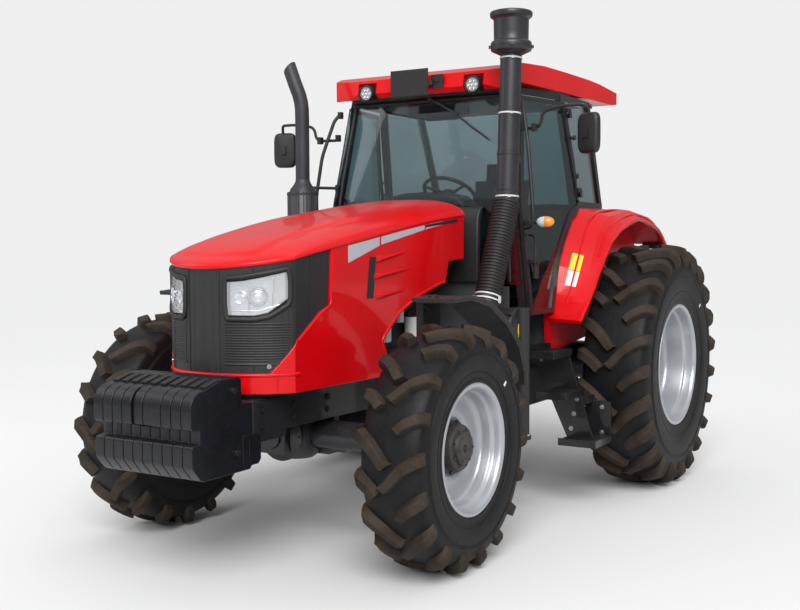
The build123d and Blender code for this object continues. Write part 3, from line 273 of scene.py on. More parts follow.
class Shape:
    """Gathers simple solids into one mesh."""

    def __init__(self):
        self.verts = []
        self.faces = []

    def add(self, verts, faces, place=None):
        base = len(self.verts)
        self.verts += [place @ Vector(v) if place else Vector(v) for v in verts]
        self.faces += [tuple(i + base for i in f) for f in faces]
        return self

    def grid(self, rows, around=False, again=False, ends=False, place=None):
        """Quads between rows of points. around closes each row, again joins the last row to the first."""
        n = len(rows[0])
        verts = [p for row in rows for p in row]
        faces = []
        for i in range(len(rows) if again else len(rows) - 1):
            for j in range(n if around else n - 1):
                a, b = i * n + j, i * n + (j + 1) % n
                faces.append((a, b, (b + n) % len(verts), (a + n) % len(verts)))
        if ends:
            faces += [tuple(range(n))[::-1], tuple(range(len(verts) - n, len(verts)))]
        return self.add(verts, faces, place)

    def block(self, x, y, z, place=None):
        """Block from its (low, high) along each axis."""
        v = [(a, b, c) for c in z for b in y for a in x]
        f = [(0, 2, 3, 1), (4, 5, 7, 6), (0, 1, 5, 4), (2, 6, 7, 3), (0, 4, 6, 2), (1, 3, 7, 5)]
        return self.add(v, f, place)

    def box(self, centre, size, place=None):
        """Block about a point."""
        return self.block(*((c - s / 2, c + s / 2) for c, s in zip(centre, size)), place)

    def prism(self, outline, low, high, axis="x", place=None):
        """Outline in the two other axes, in x, y, z order."""
        at = "xyz".index(axis)
        rows = [[(*p[:at], t, *p[at:]) for p in outline] for t in (low, high)]
        return self.grid(rows, around=True, ends=True, place=place)

    def sweep(self, points, radii, n=20, caps=True):
        """Round bar through the points; radii is one number or one for each point."""
        points = [Vector(p) for p in points]
        if not isinstance(radii, (list, tuple)):
            radii = [radii] * len(points)
        up = None
        rows = []
        for i, (p, r) in enumerate(zip(points, radii)):
            along = (points[min(len(points) - 1, i + 1)] - points[max(0, i - 1)]).normalized()
            if up is None:
                up = along.orthogonal().normalized()
            up = (up - along * up.dot(along)).normalized()
            side = along.cross(up)
            rows.append([p + (up * cos(t) + side * sin(t)) * r for t in turns(n)])
        return self.grid(rows, around=True, ends=caps)

    def rod(self, a, b, r, n=24):
        return self.sweep([a, b], r, n)

    def pipe(self, points, r, bend=0.05, n=16):
        """Round bar with rounded corners."""
        return self.sweep(rounded(points, bend), r, n)

    def turn(self, profile, n=48, place=None, closed=True):
        """Turned solid about X; profile lists (x, radius)."""
        rows = [[(x, -r * sin(t), -r * cos(t)) for x, r in profile] for t in turns(n)]
        return self.grid(rows, around=closed, again=True, place=place)

    def lathe(self, centre, axis, profile, n=32):
        """Turned solid about any axis; profile lists (distance along the axis, radius)."""
        tilt = Vector((1, 0, 0)).rotation_difference(Vector(axis).normalized()).to_matrix().to_4x4()
        return self.turn(profile, n, Matrix.Translation(centre) @ tilt)

    def plug(self, centre, axis, profile, n=32):
        """Turned solid whose profile is closed on the axis."""
        profile = [(profile[0][0], CORE), *profile]
        if profile[-1][1] > CORE:
            profile.append((profile[-1][0], CORE))
        return self.lathe(centre, axis, profile, n)

    def hoop(self, centre, axis, inner, outer, wide, n=48):
        """Flat ring."""
        return self.lathe(centre, axis, [(0, inner), (0, outer), (wide, outer), (wide, inner)], n)

    def bolt(self, centre, axis, r=0.012, high=0.010):
        """Hexagon head on a washer."""
        self.plug(centre, axis, [(0, r * 1.35), (high * 0.2, r * 1.35)], 16)
        return self.plug(centre, axis, [(0, r), (high, r * 0.94)], 6)

    def make(self, name, mat, body="chassis", bevel=0.0, angle=35, segments=2):
        me = bpy.data.meshes.new(name)
        me.from_pydata([tuple(v) for v in self.verts], [], self.faces)
        me.update()
        bm = bmesh.new()
        bm.from_mesh(me)
        bmesh.ops.recalc_face_normals(bm, faces=bm.faces)
        bm.to_mesh(me)
        bm.free()
        return put(me, name, mat, body, angle, bevel, segments)


def turns(n, start=0.0):
    """n even steps round a circle, in radians."""
    return [start + 2 * pi * k / n for k in range(n)]


def oval(middle, reach, n):
    """Points on an ellipse; both arguments are pairs."""
    return [(middle[0] + reach[0] * cos(t), middle[1] + reach[1] * sin(t)) for t in turns(n)]


def soften(node, width, merge):
    """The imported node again, in its place, with its edges rounded."""
    bm = bmesh.new()
    bm.from_mesh(NODES[node].data)
    bmesh.ops.remove_doubles(bm, verts=bm.verts, dist=2e-5)
    bmesh.ops.dissolve_limit(bm, angle_limit=radians(merge), verts=bm.verts, edges=bm.edges)
    me = bpy.data.meshes.new(node + "_soft")
    bm.to_mesh(me)
    bm.free()
    ob = put(me, node + "_soft", LOOK_OF[node], BODY_OF[node], 40, width, 3, 24)
    ob.modifiers.new("even", "WEIGHTED_NORMAL").keep_sharp = True
    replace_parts(ob, node)


class Skin:
    """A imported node's surface, for laying thin pieces on it."""

    def __init__(self, node):
        data = NODES[node].data
        self.tree = BVHTree.FromPolygons([v.co.copy() for v in data.vertices],
                                         [tuple(p.vertices) for p in data.polygons])

    def cast(self, point, aim):
        spot = self.tree.ray_cast(Vector(point), Vector(aim))[0]
        return Vector(point) if spot is None else spot


def share(points, s):
    """Point at a share of a polyline's length."""
    points = [Vector(p) for p in points]
    lengths = [(b - a).length for a, b in zip(points, points[1:])]
    left = s * sum(lengths)
    for a, b, length in zip(points, points[1:], lengths):
        if left <= length + 1e-9:
            return a.lerp(b, left / length if length else 0)
        left -= length
    return points[-1]


def slab(front, back, n, m):
    """Thin closed mesh between two grids of n by m quads."""
    w, count = m + 1, len(front)
    faces = []
    for i in range(n):
        for j in range(m):
            a = i * w + j
            faces.append((a, a + 1, a + w + 1, a + w))
            faces.append((a + count, a + w + count, a + w + 1 + count, a + 1 + count))
    rim = [*range(w), *(i * w + m for i in range(1, n + 1))]
    rim += [*(n * w + j for j in range(m - 1, -1, -1)), *(i * w for i in range(n - 1, 0, -1))]
    faces += [(b, a, a + count, b + count) for a, b in zip(rim, rim[1:] + rim[:1])]
    return Shape().add(front + back, faces)


def sheet_on(low, high, place, lift, n=12, m=6, depth=0.004):
    """Thin sheet ruled between two lines; place(point) gives its spot on the skin and its outward way."""
    front, back = [], []
    for i in range(n + 1):
        a, b = share(low, i / n), share(high, i / n)
        for j in range(m + 1):
            p, out = place(a.lerp(b, j / m))
            front.append(p + out * lift)
            back.append(p + out * (lift - depth))
    return slab(front, back, n, m)


def mirrored(shape):
    out = Shape()
    out.verts = [Vector((-v.x, v.y, v.z)) for v in shape.verts]
    out.faces = [f[::-1] for f in shape.faces]
    return out


def both(shape, name, mat, left="chassis", right=None, **more):
    """The shape on the left, its mirror image on the right."""
    ob = shape.make(name + "_left", mat, left, **more)
    mirrored(shape).make(name + "_right", mat, right or left, **more)
    return ob


def rounded(points, radius, steps=6):
    """Polyline with its inner corners rounded."""
    points = [Vector(p) for p in points]
    out = [points[0]]
    for a, p, b in zip(points, points[1:], points[2:]):
        cut = min(radius, (a - p).length * 0.45, (b - p).length * 0.45)
        s, e = [p + (q - p).normalized() * cut for q in (a, b)]
        for k in range(steps + 1):
            t = k / steps
            out.append(s * (1 - t) ** 2 + p * 2 * t * (1 - t) + e * t ** 2)
    return out + [points[-1]]


def smooth_line(points, steps=5):
    """Smooth curve through points of two numbers each."""
    out = []
    p = [points[0], *points, points[-1]]
    for a, b, c, d in zip(p, p[1:], p[2:], p[3:]):
        for k in range(steps):
            t = k / steps
            out.append(tuple(
                0.5 * ((2 * b[i]) + (c[i] - a[i]) * t + (2 * a[i] - 5 * b[i] + 4 * c[i] - d[i]) * t * t
                       + (3 * b[i] - a[i] - 3 * c[i] + d[i]) * t ** 3)
                for i in (0, 1)))
    return out + [points[-1]]


# ---------------------------------------------------------------- tyres
RIDGES = (0.56, 0.585, 0.80)  # raised rings on the side, as shares of the half profile
LUG_STEPS = 13                # rows of points along a lug
# Cross section of a lug: share of its width, share of its height.
LUG_SECTION = [(-0.78, -0.10), (-0.60, 0.55), (-0.50, 0.93), (-0.44, 1.0),
               (0.44, 1.0), (0.50, 0.93), (0.60, 0.55), (0.78, -0.10)]
MARK_ANGLE = 3.95             # turn of the white mark on the side


def casing_line(radius, width, rim, flange, bead):
    """Half profile from the middle of the tread to the bead: (x, r)."""
    half = width / 2
    side = radius - rim
    return [
        (0, radius), (0.3 * half, radius - 0.003), (0.6 * half, radius - 0.012),
        (0.84 * half, radius - 0.032), (0.95 * half, radius - 0.2 * side), (half, radius - 0.42 * side),
        (0.985 * half, radius - 0.62 * side), (0.92 * half, radius - 0.8 * side),
        (bead + 0.012, rim + flange + 0.012), (bead + 0.006, rim + flange - 0.004), (bead, rim)]


class Line:
    """A profile measured by its length."""

    def __init__(self, points):
        self.points = points
        self.lengths = [0.0]
        for a, b in zip(points, points[1:]):
            self.lengths.append(self.lengths[-1] + hypot(b[0] - a[0], b[1] - a[1]))
        self.total = self.lengths[-1]

    def at(self, s):
        """Place (x, r) and outward way at a length from the middle; below zero is the other side."""
        i = 0
        while i < len(self.lengths) - 2 and self.lengths[i + 1] < abs(s):
            i += 1
        (xa, ra), (xb, rb) = self.points[i], self.points[i + 1]
        t = (abs(s) - self.lengths[i]) / (self.lengths[i + 1] - self.lengths[i])
        length = hypot(xb - xa, rb - ra)
        x, r = xa + (xb - xa) * t, ra + (rb - ra) * t
        out_x, out_r = -(rb - ra) / length, (xb - xa) / length
        return (-x, r, -out_x, out_r) if s < 0 else (x, r, out_x, out_r)


def lug_row(line, u, side, inner, reach, radius, width, lug_h, lug_w, turned):
    """Points across a lug at a share u of its length."""
    s = inner + (reach - inner) * u
    q = max(0.0, s) / (width * 0.56)
    swing = 0.40 * width * (1 - (1 - min(1.0, q)) ** 1.75) + 0.02 * width * q
    slope = 0.40 * 1.75 * (1 - min(0.97, q)) ** 0.75 / 0.56 + 0.04
    across = (1 / sqrt(1 + slope * slope), slope / sqrt(1 + slope * slope))
    fade = min(1.0, max(0.0, (reach - s) / (reach * 0.26)))
    height = lug_h * (0.25 + 0.75 * fade) if u > 0.5 else lug_h
    if u == 1.0:
        height = 0.002
    wide = lug_w * (1.0 + 0.25 * u)
    points = []
    for w, h in LUG_SECTION:
        along, round_by = s - across[1] * w * wide, swing + across[0] * w * wide
        x, r, out_x, out_r = line.at(side * along)
        crown = height + (line.at(0)[1] - r) * 0.35 if abs(along) < width * 0.42 else height
        rise = min(crown * h, max(0.0, (radius - r) / max(0.2, out_r))) if h > 0 else -0.004
        x, r = x + out_x * rise, r + out_r * rise
        t = turned + round_by / (radius - lug_h)
        points.append((x, -r * sin(t), -r * cos(t)))
    return points


def wheel_places(end, track, y, z):
    """Side, body and place of an axle's two wheels."""
    for name, sx in (("left", 1), ("right", -1)):
        place = Matrix.Translation((sx * track / 2, y, z)) @ Matrix.Diagonal((sx, 1, 1, 1))
        yield name, f"{end}_{name}_wheel", place


def build_tyre(end, track, y, radius, width, rim, flange, rim_w, count, lug_h, lug_w):
    half = smooth_line(casing_line(radius - lug_h, width - 0.008, rim, flange, rim_w / 2 - 0.010))
    line = Line(half)
    casing = Shape().turn([(-x, r) for x, r in half[::-1]] + half[1:], count * 4)
    for ridge in RIDGES:
        for sign in (1, -1):
            places = [line.at(sign * line.total * (ridge + d)) for d in (-0.006, 0, 0.006)]
            low, (x, r, out_x, out_r), high = places
            top = (x + out_x * 0.003, r + out_r * 0.003)
            casing.turn([low[:2], top, high[:2]], count * 2, closed=False)
    lugs = Shape()
    for i in range(count):
        side = 1 if i % 2 == 0 else -1
        inner = -0.012 if i // 2 % 2 == 0 else width * 0.15
        shares = [k / (LUG_STEPS - 1) for k in range(LUG_STEPS)]
        size = (radius, width, lug_h, lug_w, i * 2 * pi / count)
        lugs.grid([lug_row(line, u, side, inner, line.total * 0.50, *size) for u in shares], ends=True)
    x, r = line.at(line.total * 0.70)[:2]
    mark = (x - 0.001, x + 0.0015), (-0.008, 0.008), (-r - 0.016, -r + 0.016)
    marks = Shape().block(*mark, Matrix.Rotation(-MARK_ANGLE, 4, "X"))
    for name, body, place in wheel_places(end, track, y, radius):
        for shape, kind, mat in ((casing, "casing", "tyre"),
                                 (lugs, "lugs", "lug"), (marks, "marks", "white")):
            piece = Shape().add(shape.verts, shape.faces, place)
            ob = piece.make(f"{end}_{kind}_{name}", mat, body, angle=32)
            if kind == "casing":
                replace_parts(ob, f"tyre_{end}_{name}")


build_tyre("front", 1.995, FRONT_Y, FRONT_R, 0.378, 0.330, 0.025, 0.342, 36, 0.040, 0.043)
build_tyre("rear", 2.420, REAR_Y, REAR_R, 0.483, 0.412, 0.026, 0.418, 46, 0.046, 0.050)


# ---------------------------------------------------------------- rims and hubs
def wheel_pieces(end, track, y, z, rim_line, hub_line, bolts, hub_mat, bolt_mat, bore):
    """Rim, hub, bolts and bore; bolts lists (count, circle, x, size, height)."""
    rim = Shape().turn(rim_line, 112)
    hub = Shape().turn(hub_line, 56)
    heads = Shape()
    for count, circle, x, r, high in bolts:
        for t in turns(count, pi / count):
            heads.bolt((x, circle * sin(t), circle * cos(t)), (1, 0, 0), r, high)
    for name, body, place in wheel_places(end, track, y, z):
        for shape, kind, mat in ((rim, "rim", "silver"), (hub, "hub", hub_mat), (heads, "bolts", bolt_mat),
                                 (bore, "bore", "rubber")):
            piece = Shape().add(shape.verts, shape.faces, place)
            ob = piece.make(f"{end}_{kind}_{name}", mat, body, angle=38)
            if kind in ("rim", "hub"):
                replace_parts(ob, f"{kind}_{end}_{name}")


FRONT_RIM_LINE = [
    (0.161, 0.3545), (0.165, 0.3575), (0.171, 0.3555), (0.1735, 0.348), (0.171, 0.336), (0.164, 0.327),
    (0.150, 0.3215), (0.128, 0.3195), (0.118, 0.316), (0.111, 0.306), (0.103, 0.3025), (0.062, 0.3005),
    (0.050, 0.296), (0.040, 0.284), (0.034, 0.268), (0.032, 0.240), (0.036, 0.205), (0.036, 0.176),
    (0.030, 0.160), (0.022, 0.152), (0.020, 0.118), (0.004, 0.118), (0.006, 0.152), (0.014, 0.178),
    (0.014, 0.262), (0.004, 0.288), (-0.020, 0.309), (-0.150, 0.3195), (-0.166, 0.327), (-0.172, 0.340),
    (-0.171, 0.3555), (-0.165, 0.3575), (-0.161, 0.3545), (-0.161, 0.330), (0.161, 0.330)]
REAR_RIM_LINE = [
    (0.199, 0.4360), (0.203, 0.4385), (0.2095, 0.4365), (0.212, 0.428), (0.208, 0.412), (0.199, 0.405),
    (0.184, 0.4025), (0.150, 0.4005), (0.138, 0.397), (0.130, 0.385), (0.120, 0.3815), (0.010, 0.3795),
    (-0.010, 0.374), (-0.024, 0.358), (-0.030, 0.335), (-0.032, 0.235), (-0.028, 0.215), (-0.014, 0.205),
    (-0.010, 0.195), (-0.014, 0.185), (-0.030, 0.176), (-0.040, 0.165), (-0.040, 0.078), (-0.056, 0.078),
    (-0.056, 0.345), (-0.050, 0.375), (-0.070, 0.388), (-0.185, 0.400), (-0.205, 0.410), (-0.2095, 0.4365),
    (-0.203, 0.4385), (-0.199, 0.4360), (-0.199, 0.412), (0.199, 0.412)]
FRONT_HUB_LINE = [
    (-0.018, CORE), (-0.018, 0.146), (0.004, 0.146), (0.004, 0.117), (0.020, 0.117), (0.020, 0.148),
    (0.037, 0.148), (0.040, 0.145), (0.041, 0.131), (0.052, 0.129), (0.082, 0.126), (0.090, 0.121),
    (0.094, 0.112), (0.095, 0.094), (0.101, 0.092), (0.112, 0.089), (0.117, 0.082), (0.118, 0.060),
    (0.114, 0.055), (0.114, CORE)]
REAR_HUB_LINE = [
    (-0.082, CORE), (-0.082, 0.151), (-0.057, 0.151), (-0.057, 0.077), (-0.040, 0.077), (-0.040, 0.112),
    (-0.026, 0.110), (-0.022, 0.100), (0.004, 0.092), (0.018, 0.088), (0.028, 0.080), (0.030, 0.070),
    (0.030, 0.046), (0.012, 0.044), (0.012, CORE)]
front_bore = Shape().turn(
    [(0.1141, CORE), (0.1141, 0.020), (0.120, 0.019), (0.1215, 0.013), (0.1215, CORE)], 24)
rear_bore = Shape().turn([(0.0121, CORE), (0.0121, 0.043), (0.016, 0.041), (0.016, CORE)], 32)
wheel_pieces("front", 1.995, FRONT_Y, FRONT_R, FRONT_RIM_LINE, FRONT_HUB_LINE,
             [(12, 0.1385, 0.040, 0.0085, 0.010), (8, 0.103, 0.0945, 0.006, 0.008),
              (6, 0.072, 0.1175, 0.0055, 0.006)],
             "hub", "hub", front_bore)
wheel_pieces("rear", 2.420, REAR_Y, REAR_R, REAR_RIM_LINE, REAR_HUB_LINE,
             [(10, 0.140, -0.040, 0.014, 0.016), (8, 0.062, 0.030, 0.006, 0.007)],
             "silver", "steel", rear_bore)

# ---------------------------------------------------------------- bonnet
# columns: y, half width, height of the seam, height of the crown
HOOD = [(-2.070, 0.425, 1.640, 1.652), (-1.700, 0.425, 1.712, 1.782), (-1.100, 0.445, 1.808, 1.905),
        (-0.500, 0.462, 1.898, 1.996), (-0.020, 0.470, 1.950, 2.045)]
NOSE_R = 0.5
NOSE_Y = -1.510               # centre of the nose's plan circle


def hood(y):
    """Half width, seam and crown of the bonnet at a station."""
    out = []
    for k in (1, 2, 3):
        line = smooth_line([(row[0], row[k]) for row in HOOD], 8)
        for (a, u), (b, w) in zip(line, line[1:]):
            if y <= b:
                break
        out.append(u + (w - u) * (y - a) / (b - a))
    return out


def front_line(x):
    return NOSE_Y - sqrt(NOSE_R ** 2 - x * x)


def step01(t):
    t = max(0.0, min(1.0, t))
    return t * t * (3 - 2 * t)


def lid_height(y, u, reach):
    """Height of the lid's skin; u is the share of the half width, reach the way to the nose's edge."""
    half, seam, crown = hood(y)
    crown = max(crown, seam + 0.040)
    across = (1 - abs(u) ** 3.0) ** 0.62 if abs(u) < 1 else 0.0
    ahead = 1.0 if reach > 0.30 else (1 - (1 - max(0.0, reach) / 0.30) ** 3.0) ** 0.62
    z = seam + (crown - seam) * across * ahead
    edge = 0.60 + 0.10 * step01((y + 1.9) / 1.2)
    inside = step01((edge - abs(u)) / 0.085 + 0.5) * step01((reach - 0.055) / 0.045)
    valley = max(0.0, 1 - abs(abs(u) - edge - 0.02) / 0.05) * step01((reach - 0.06) / 0.06)
    return z + 0.010 * inside * step01((-0.55 - y) / 0.6) - 0.0035 * valley * step01((-0.7 - y) / 0.5)


ACROSS, ALONG = 72, 88
grid = []
for i in range(ALONG + 1):
    v = (i / ALONG) ** 1.5
    row = []
    for j in range(ACROSS + 1):
        u = sin(pi / 2 * (2 * j / ACROSS - 1))
        y0 = front_line(0.425 * u)
        y = y0 + (HOOD[-1][0] - y0) * v
        half = hood(y)[0]
        row.append(Vector((u * half, y, lid_height(y, u, y - y0))))
    grid.append(row)
# The rolled edge: out, down and back under, all round.
LIP = [(0.004, -0.003), (0.006, -0.010), (0.005, -0.019), (-0.001, -0.024),
       (-0.010, -0.024), (-0.016, -0.018)]
outline = [grid[i][0] for i in range(ALONG, 0, -1)] + grid[0] + [grid[i][-1] for i in range(1, ALONG + 1)]
ways = []
for k, p in enumerate(outline):
    a, b = outline[max(0, k - 1)], outline[min(len(outline) - 1, k + 1)]
    ways.append(Vector((b.y - a.y, a.x - b.x, 0)).normalized())
w = ACROSS + 1
lid = Shape().grid(grid)
edge = [i * w for i in range(ALONG, 0, -1)] + list(range(w)) + [i * w + ACROSS for i in range(1, ALONG + 1)]
for out, down in LIP:
    fresh = [len(lid.verts) + k for k in range(len(outline))]
    lid.verts += [p + way * out + Vector((0, 0, down)) for p, way in zip(outline, ways)]
    lid.faces += [(a, d, c, b) for a, b, c, d in zip(edge, edge[1:], fresh[1:], fresh)]
    edge = fresh
# The rear edge turns down.
last = [ALONG * w + j for j in range(w)]
for dy, dz in ((0.004, -0.004), (0.005, -0.014), (0.0, -0.020)):
    fresh = [len(lid.verts) + j for j in range(w)]
    lid.verts += [p + Vector((0, dy, dz)) for p in grid[ALONG]]
    lid.faces += [(a, b, c, d) for a, b, c, d in zip(last, last[1:], fresh[1:], fresh)]
    last = fresh
ob = lid.make("bonnet_lid_skin", "red", "bonnet", angle=60)
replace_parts(ob, "bonnet_lid")
under = Shape()
for x in (-0.24, 0.24):
    under.pipe([(x, -1.70, 1.69), (x, -1.1, 1.81), (x, -0.55, 1.89), (x, -0.05, 1.95)], 0.014)
for y in (-1.45, -0.95, -0.45):
    under.pipe([(-0.41, y, hood(y)[1] - 0.03), (0, y, hood(y)[2] - 0.045),
                (0.41, y, hood(y)[1] - 0.03)], 0.013)
under.make("bonnet_ribs", "black_paint", "bonnet")
ears = Shape()
for x in (0.202, -0.220):
    ears.prism([(-0.046, 1.971), (-0.046, 2.030), (-0.020, 2.036), (-0.016, 1.985),
                (-0.026, 1.969)], x, x + 0.018)
    ears.rod((x - 0.008, -0.030, 1.985), (x + 0.026, -0.030, 1.985), 0.012)
ears.make("bonnet_hinge_ears", "black_paint", "bonnet", bevel=0.002)

sides_skin = Skin("bonnet_sides")


def on_side(point):
    return sides_skin.cast((0.9, point.y, point.z), (-1, 0, 0)), Vector((1, 0, 0))


def nose_spot(point):
    """point holds an angle in degrees in x and a height in z; the angle is 0 straight ahead."""
    t = radians(point.x)
    out = Vector((sin(t), -cos(t), 0))
    if abs(t) < radians(58.2):
        return Vector((0, NOSE_Y, point.z)) + out * (NOSE_R - 0.006), out
    run = (abs(t) - radians(58.2)) * NOSE_R
    side = 1 if t > 0 else -1
    return Vector((side * 0.4205, -1.7735 + run, point.z)), Vector((side, 0, 0))


def row(*pairs):
    """Side points (y, z)."""
    return [Vector((0, y, z)) for y, z in pairs]


def seam_z(y, drop):
    return hood(y)[1] - drop


# columns: front and rear station, lower edge at each
STRIPES = [(-1.305, -1.003, 1.652, 1.745), (-0.982, -0.514, 1.751, 1.839), (-0.496, -0.300, 1.842, 1.872)]
for k, (y0, y1, z0, z1) in enumerate(STRIPES):
    low = row((y0, z0), (y1, z1))
    high = row(*((y0 + (y1 - y0) * j / 8, seam_z(y0 + (y1 - y0) * j / 8, 0.030)) for j in range(9)))
    both(sheet_on(low, high, on_side, 0.0022, 16, 3, 0.003), f"bonnet_stripe_{k + 1}", "stripe", "bonnet")
vent = sheet_on(row((-1.132, 1.447), (-1.100, 1.682)),
                row((-1.068, 1.447), (-1.038, 1.682)), on_side, 0.0025, 8, 3)
both(vent, "bonnet_vent", "rubber", "bonnet")
gills = Shape()
for y0, y1, z0, z1 in ((-1.040, -0.700, 1.672, 1.712), (-1.066, -0.650, 1.576, 1.612),
                       (-1.040, -0.720, 1.462, 1.484)):
    rows = []
    for i in range(15):
        s = i / 14
        y, z = y0 + (y1 - y0) * s, z0 + (z1 - z0) * s
        fade = step01(s / 0.08) * step01((1 - s) / 0.75)
        line = []
        for dz, out in ((-0.034, -0.003), (-0.026, 0.004), (-0.016, 0.011), (-0.006, 0.015), (0.004, 0.011),
                        (0.010, 0.004), (0.014, -0.003)):
            p, way = on_side(Vector((0, y, z + dz * (0.35 + 0.65 * (1 - s)))))
            line.append(p + way * (out * fade if out > 0 else out))
        rows.append(line)
    gills.grid(rows)
both(gills, "bonnet_gills", "red", "bonnet", angle=60)


def side_bead(pairs, radius, sink):
    """Bar on the bonnet's side through (y, z) pairs, part buried."""
    points = []
    for k in range(25):
        p, way = on_side(share(row(*pairs), k / 24))
        points.append(p - way * sink)
    return Shape().sweep(points, radius, 12)


arch = [(-0.890, 1.000), (-0.978, 1.203), (-0.808, 1.345), (-0.594, 1.437), (-0.325, 1.506), (-0.268, 1.512)]
both(side_bead(arch, 0.011, 0.004), "arch_lip", "red", "bonnet", angle=60)
both(side_bead([(-1.436, 1.722), (-1.462, 1.430), (-1.552, 1.386), (-1.742, 1.256)], 0.007, 0.003),
     "grille_edge", "red", "bonnet", angle=60)
low = row((-0.50, seam_z(-0.50, 0.044)), (-0.11, seam_z(-0.11, 0.050)))
high = row((-0.50, seam_z(-0.50, 0.030)), (-0.11, seam_z(-0.11, 0.030)))
seam_slot = sheet_on(low, high, on_side, 0.003, 8, 2)
both(seam_slot, "bonnet_slot", "rubber", "bonnet")

# ---------------------------------------------------------------- grille and headlamps
LAMP_HIGH = [Vector((a, 0, z)) for a, z in ((18.0, 1.556), (27.0, 1.562), (38.0, 1.580), (53.0, 1.608))]
LAMP_LOW = [Vector((a, 0, z)) for a, z in ((18.0, 1.402), (34.0, 1.400), (41.5, 1.414), (53.0, 1.486))]


def grow(points, sideways, upward):
    """Lamp line moved out from the lamp's middle."""
    out = []
    for k, p in enumerate(points):
        s = k / (len(points) - 1)
        out.append(Vector((p.x + sideways * (2 * s - 1), 0, p.z + upward)))
    return out


bezel_high, bezel_low = grow(LAMP_HIGH, 3.2, 0.028), grow(LAMP_LOW, 3.2, -0.028)


def grille_low(a):
    """Lower edge of the grille at an angle from straight ahead."""
    y = nose_spot(Vector((a, 0, 0)))[0].y
    line = [(-2.2, 1.080), (-1.885, 1.080), (-1.755, 1.262), (-1.560, 1.395), (-1.470, 1.430), (-1.455, 1.76)]
    for (y0, z0), (y1, z1) in zip(line, line[1:]):
        if y <= y1:
            return z0 + (z1 - z0) * (y - y0) / (y1 - y0)
    return line[-1][1]


def grille_high(a):
    return hood(nose_spot(Vector((a, 0, 0)))[0].y)[1] - 0.004


mesh = Shape()
REACH = 94.0
for low_a, high_a, low_z, high_z in (
    (0.0, 15.0, None, None), (15.0, 56.0, None, 1.372), (15.0, 56.0, 1.606, None), (56.0, REACH, None, None)):
    n = max(4, int((high_a - low_a) / 2))
    low, high = [], []
    for k in range(n + 1):
        a = low_a + (high_a - low_a) * k / n
        z0 = grille_low(a) if low_z is None else 1.585 + 0.045 * step01((a - 15) / 41)
        z1 = grille_high(a) if high_z is None else 1.374 + 0.076 * step01((a - 40) / 16)
        low.append(Vector((a, 0, z0)))
        high.append(Vector((a, 0, max(z0 + 0.002, z1))))
    part = sheet_on(low, high, nose_spot, 0.0, n * 2, 10, 0.012)
    mesh.add(part.verts, part.faces)
whole = Shape().add(mesh.verts, mesh.faces)
flip = mirrored(mesh)
whole.add(flip.verts, flip.faces)
ob = whole.make("grille_mesh", "mesh", "bonnet", angle=40)
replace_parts(ob, "grille")
trim = Shape()
for a in (12.0, 33.0, 57.5, 75.0):
    low, high = grille_low(a), grille_high(a)
    for z0, z1 in ((low, 1.37), (1.62, high)) if 15 < a < 56 else ((low, high),):
        if z1 > z0 + 0.02:
            points = [nose_spot(Vector((a, 0, z0 + (z1 - z0) * k / 6))) for k in range(7)]
            trim.sweep([p + out * 0.0015 for p, out in points], 0.0022, 8)
for k in range(15):
    z = 1.145 + k * 0.0135
    a1 = 41.0 if z < 1.17 else 55.0
    points = [nose_spot(Vector((15.5 + (a1 - 15.5) * j / 20, 0, z))) for j in range(21)]
    trim.sweep([p + out * 0.001 for p, out in points], 0.0036, 8)
for z in (1.140, 1.350):
    points = [nose_spot(Vector((15.0 + (40.5 if z < 1.2 else 41.0) * j / 20, 0, z))) for j in range(21)]
    trim.sweep([p + out * 0.001 for p, out in points], 0.0045, 8)
both(trim, "grille_bars", "plastic", "bonnet")
latch = Shape()
spot, out = nose_spot(Vector((42.0, 0, 1.128)))
latch.plug(spot, out, [(0, 0.013), (0.006, 0.012)], 20)
latch.plug(spot, out, [(0.006, 0.006), (0.009, 0.005)], 16)
both(latch, "grille_latch", "steel", "bonnet")
points = [nose_spot(Vector((-62 + 124 * j / 40, 0, 1.083))) for j in range(41)]
sill = Shape().sweep([p + o * 0.003 for p, o in points], 0.010, 12)
sill.make("sill_lip", "red", "bonnet", angle=60)
seams = Shape()
for a in (-47.0, 47.0):
    p0, o = nose_spot(Vector((a, 0, 0.995)))
    p1, o = nose_spot(Vector((a, 0, 1.070)))
    seams.sweep([p0 + o * 0.0065, p1 + o * 0.0065], 0.002, 6)
seams.make("sill_seams", "rubber", "bonnet")

edge = bezel_high + bezel_low[::-1] + [bezel_high[0]]
loop = []
for k in range(96):
    p, o = nose_spot(share(edge, k / 96))
    loop.append(p + o * 0.004)
for _ in range(3):
    loop = [(loop[k - 1] + loop[k] * 2 + loop[(k + 1) % 96]) / 4 for k in range(96)]
rows = []
for k, p in enumerate(loop):
    along = (loop[(k + 1) % 96] - loop[k - 1]).normalized()
    out = Vector((p.x, p.y - NOSE_Y, 0)).normalized()
    side = along.cross(out).normalized()
    rows.append([p + out * 0.012 * cos(t) + side * 0.013 * sin(t) for t in turns(12)])
bezel = Shape().grid(rows, around=True, again=True)
both(bezel, "lamp_bezel", "rubber", "bonnet", angle=60)
surround = sheet_on(grow(bezel_low, 0, 0.004), grow(bezel_high, 0, -0.004), nose_spot, -0.026, 24, 10)
both(surround, "lamp_tray", "rubber", "bonnet")
bowl = sheet_on(grow(LAMP_LOW, 0.6, -0.006), grow(LAMP_HIGH, 0.6, 0.006), nose_spot, -0.020, 60, 10, 0.004)
both(bowl, "lamp_reflector", "chrome", "bonnet", angle=60)
cells = Shape()
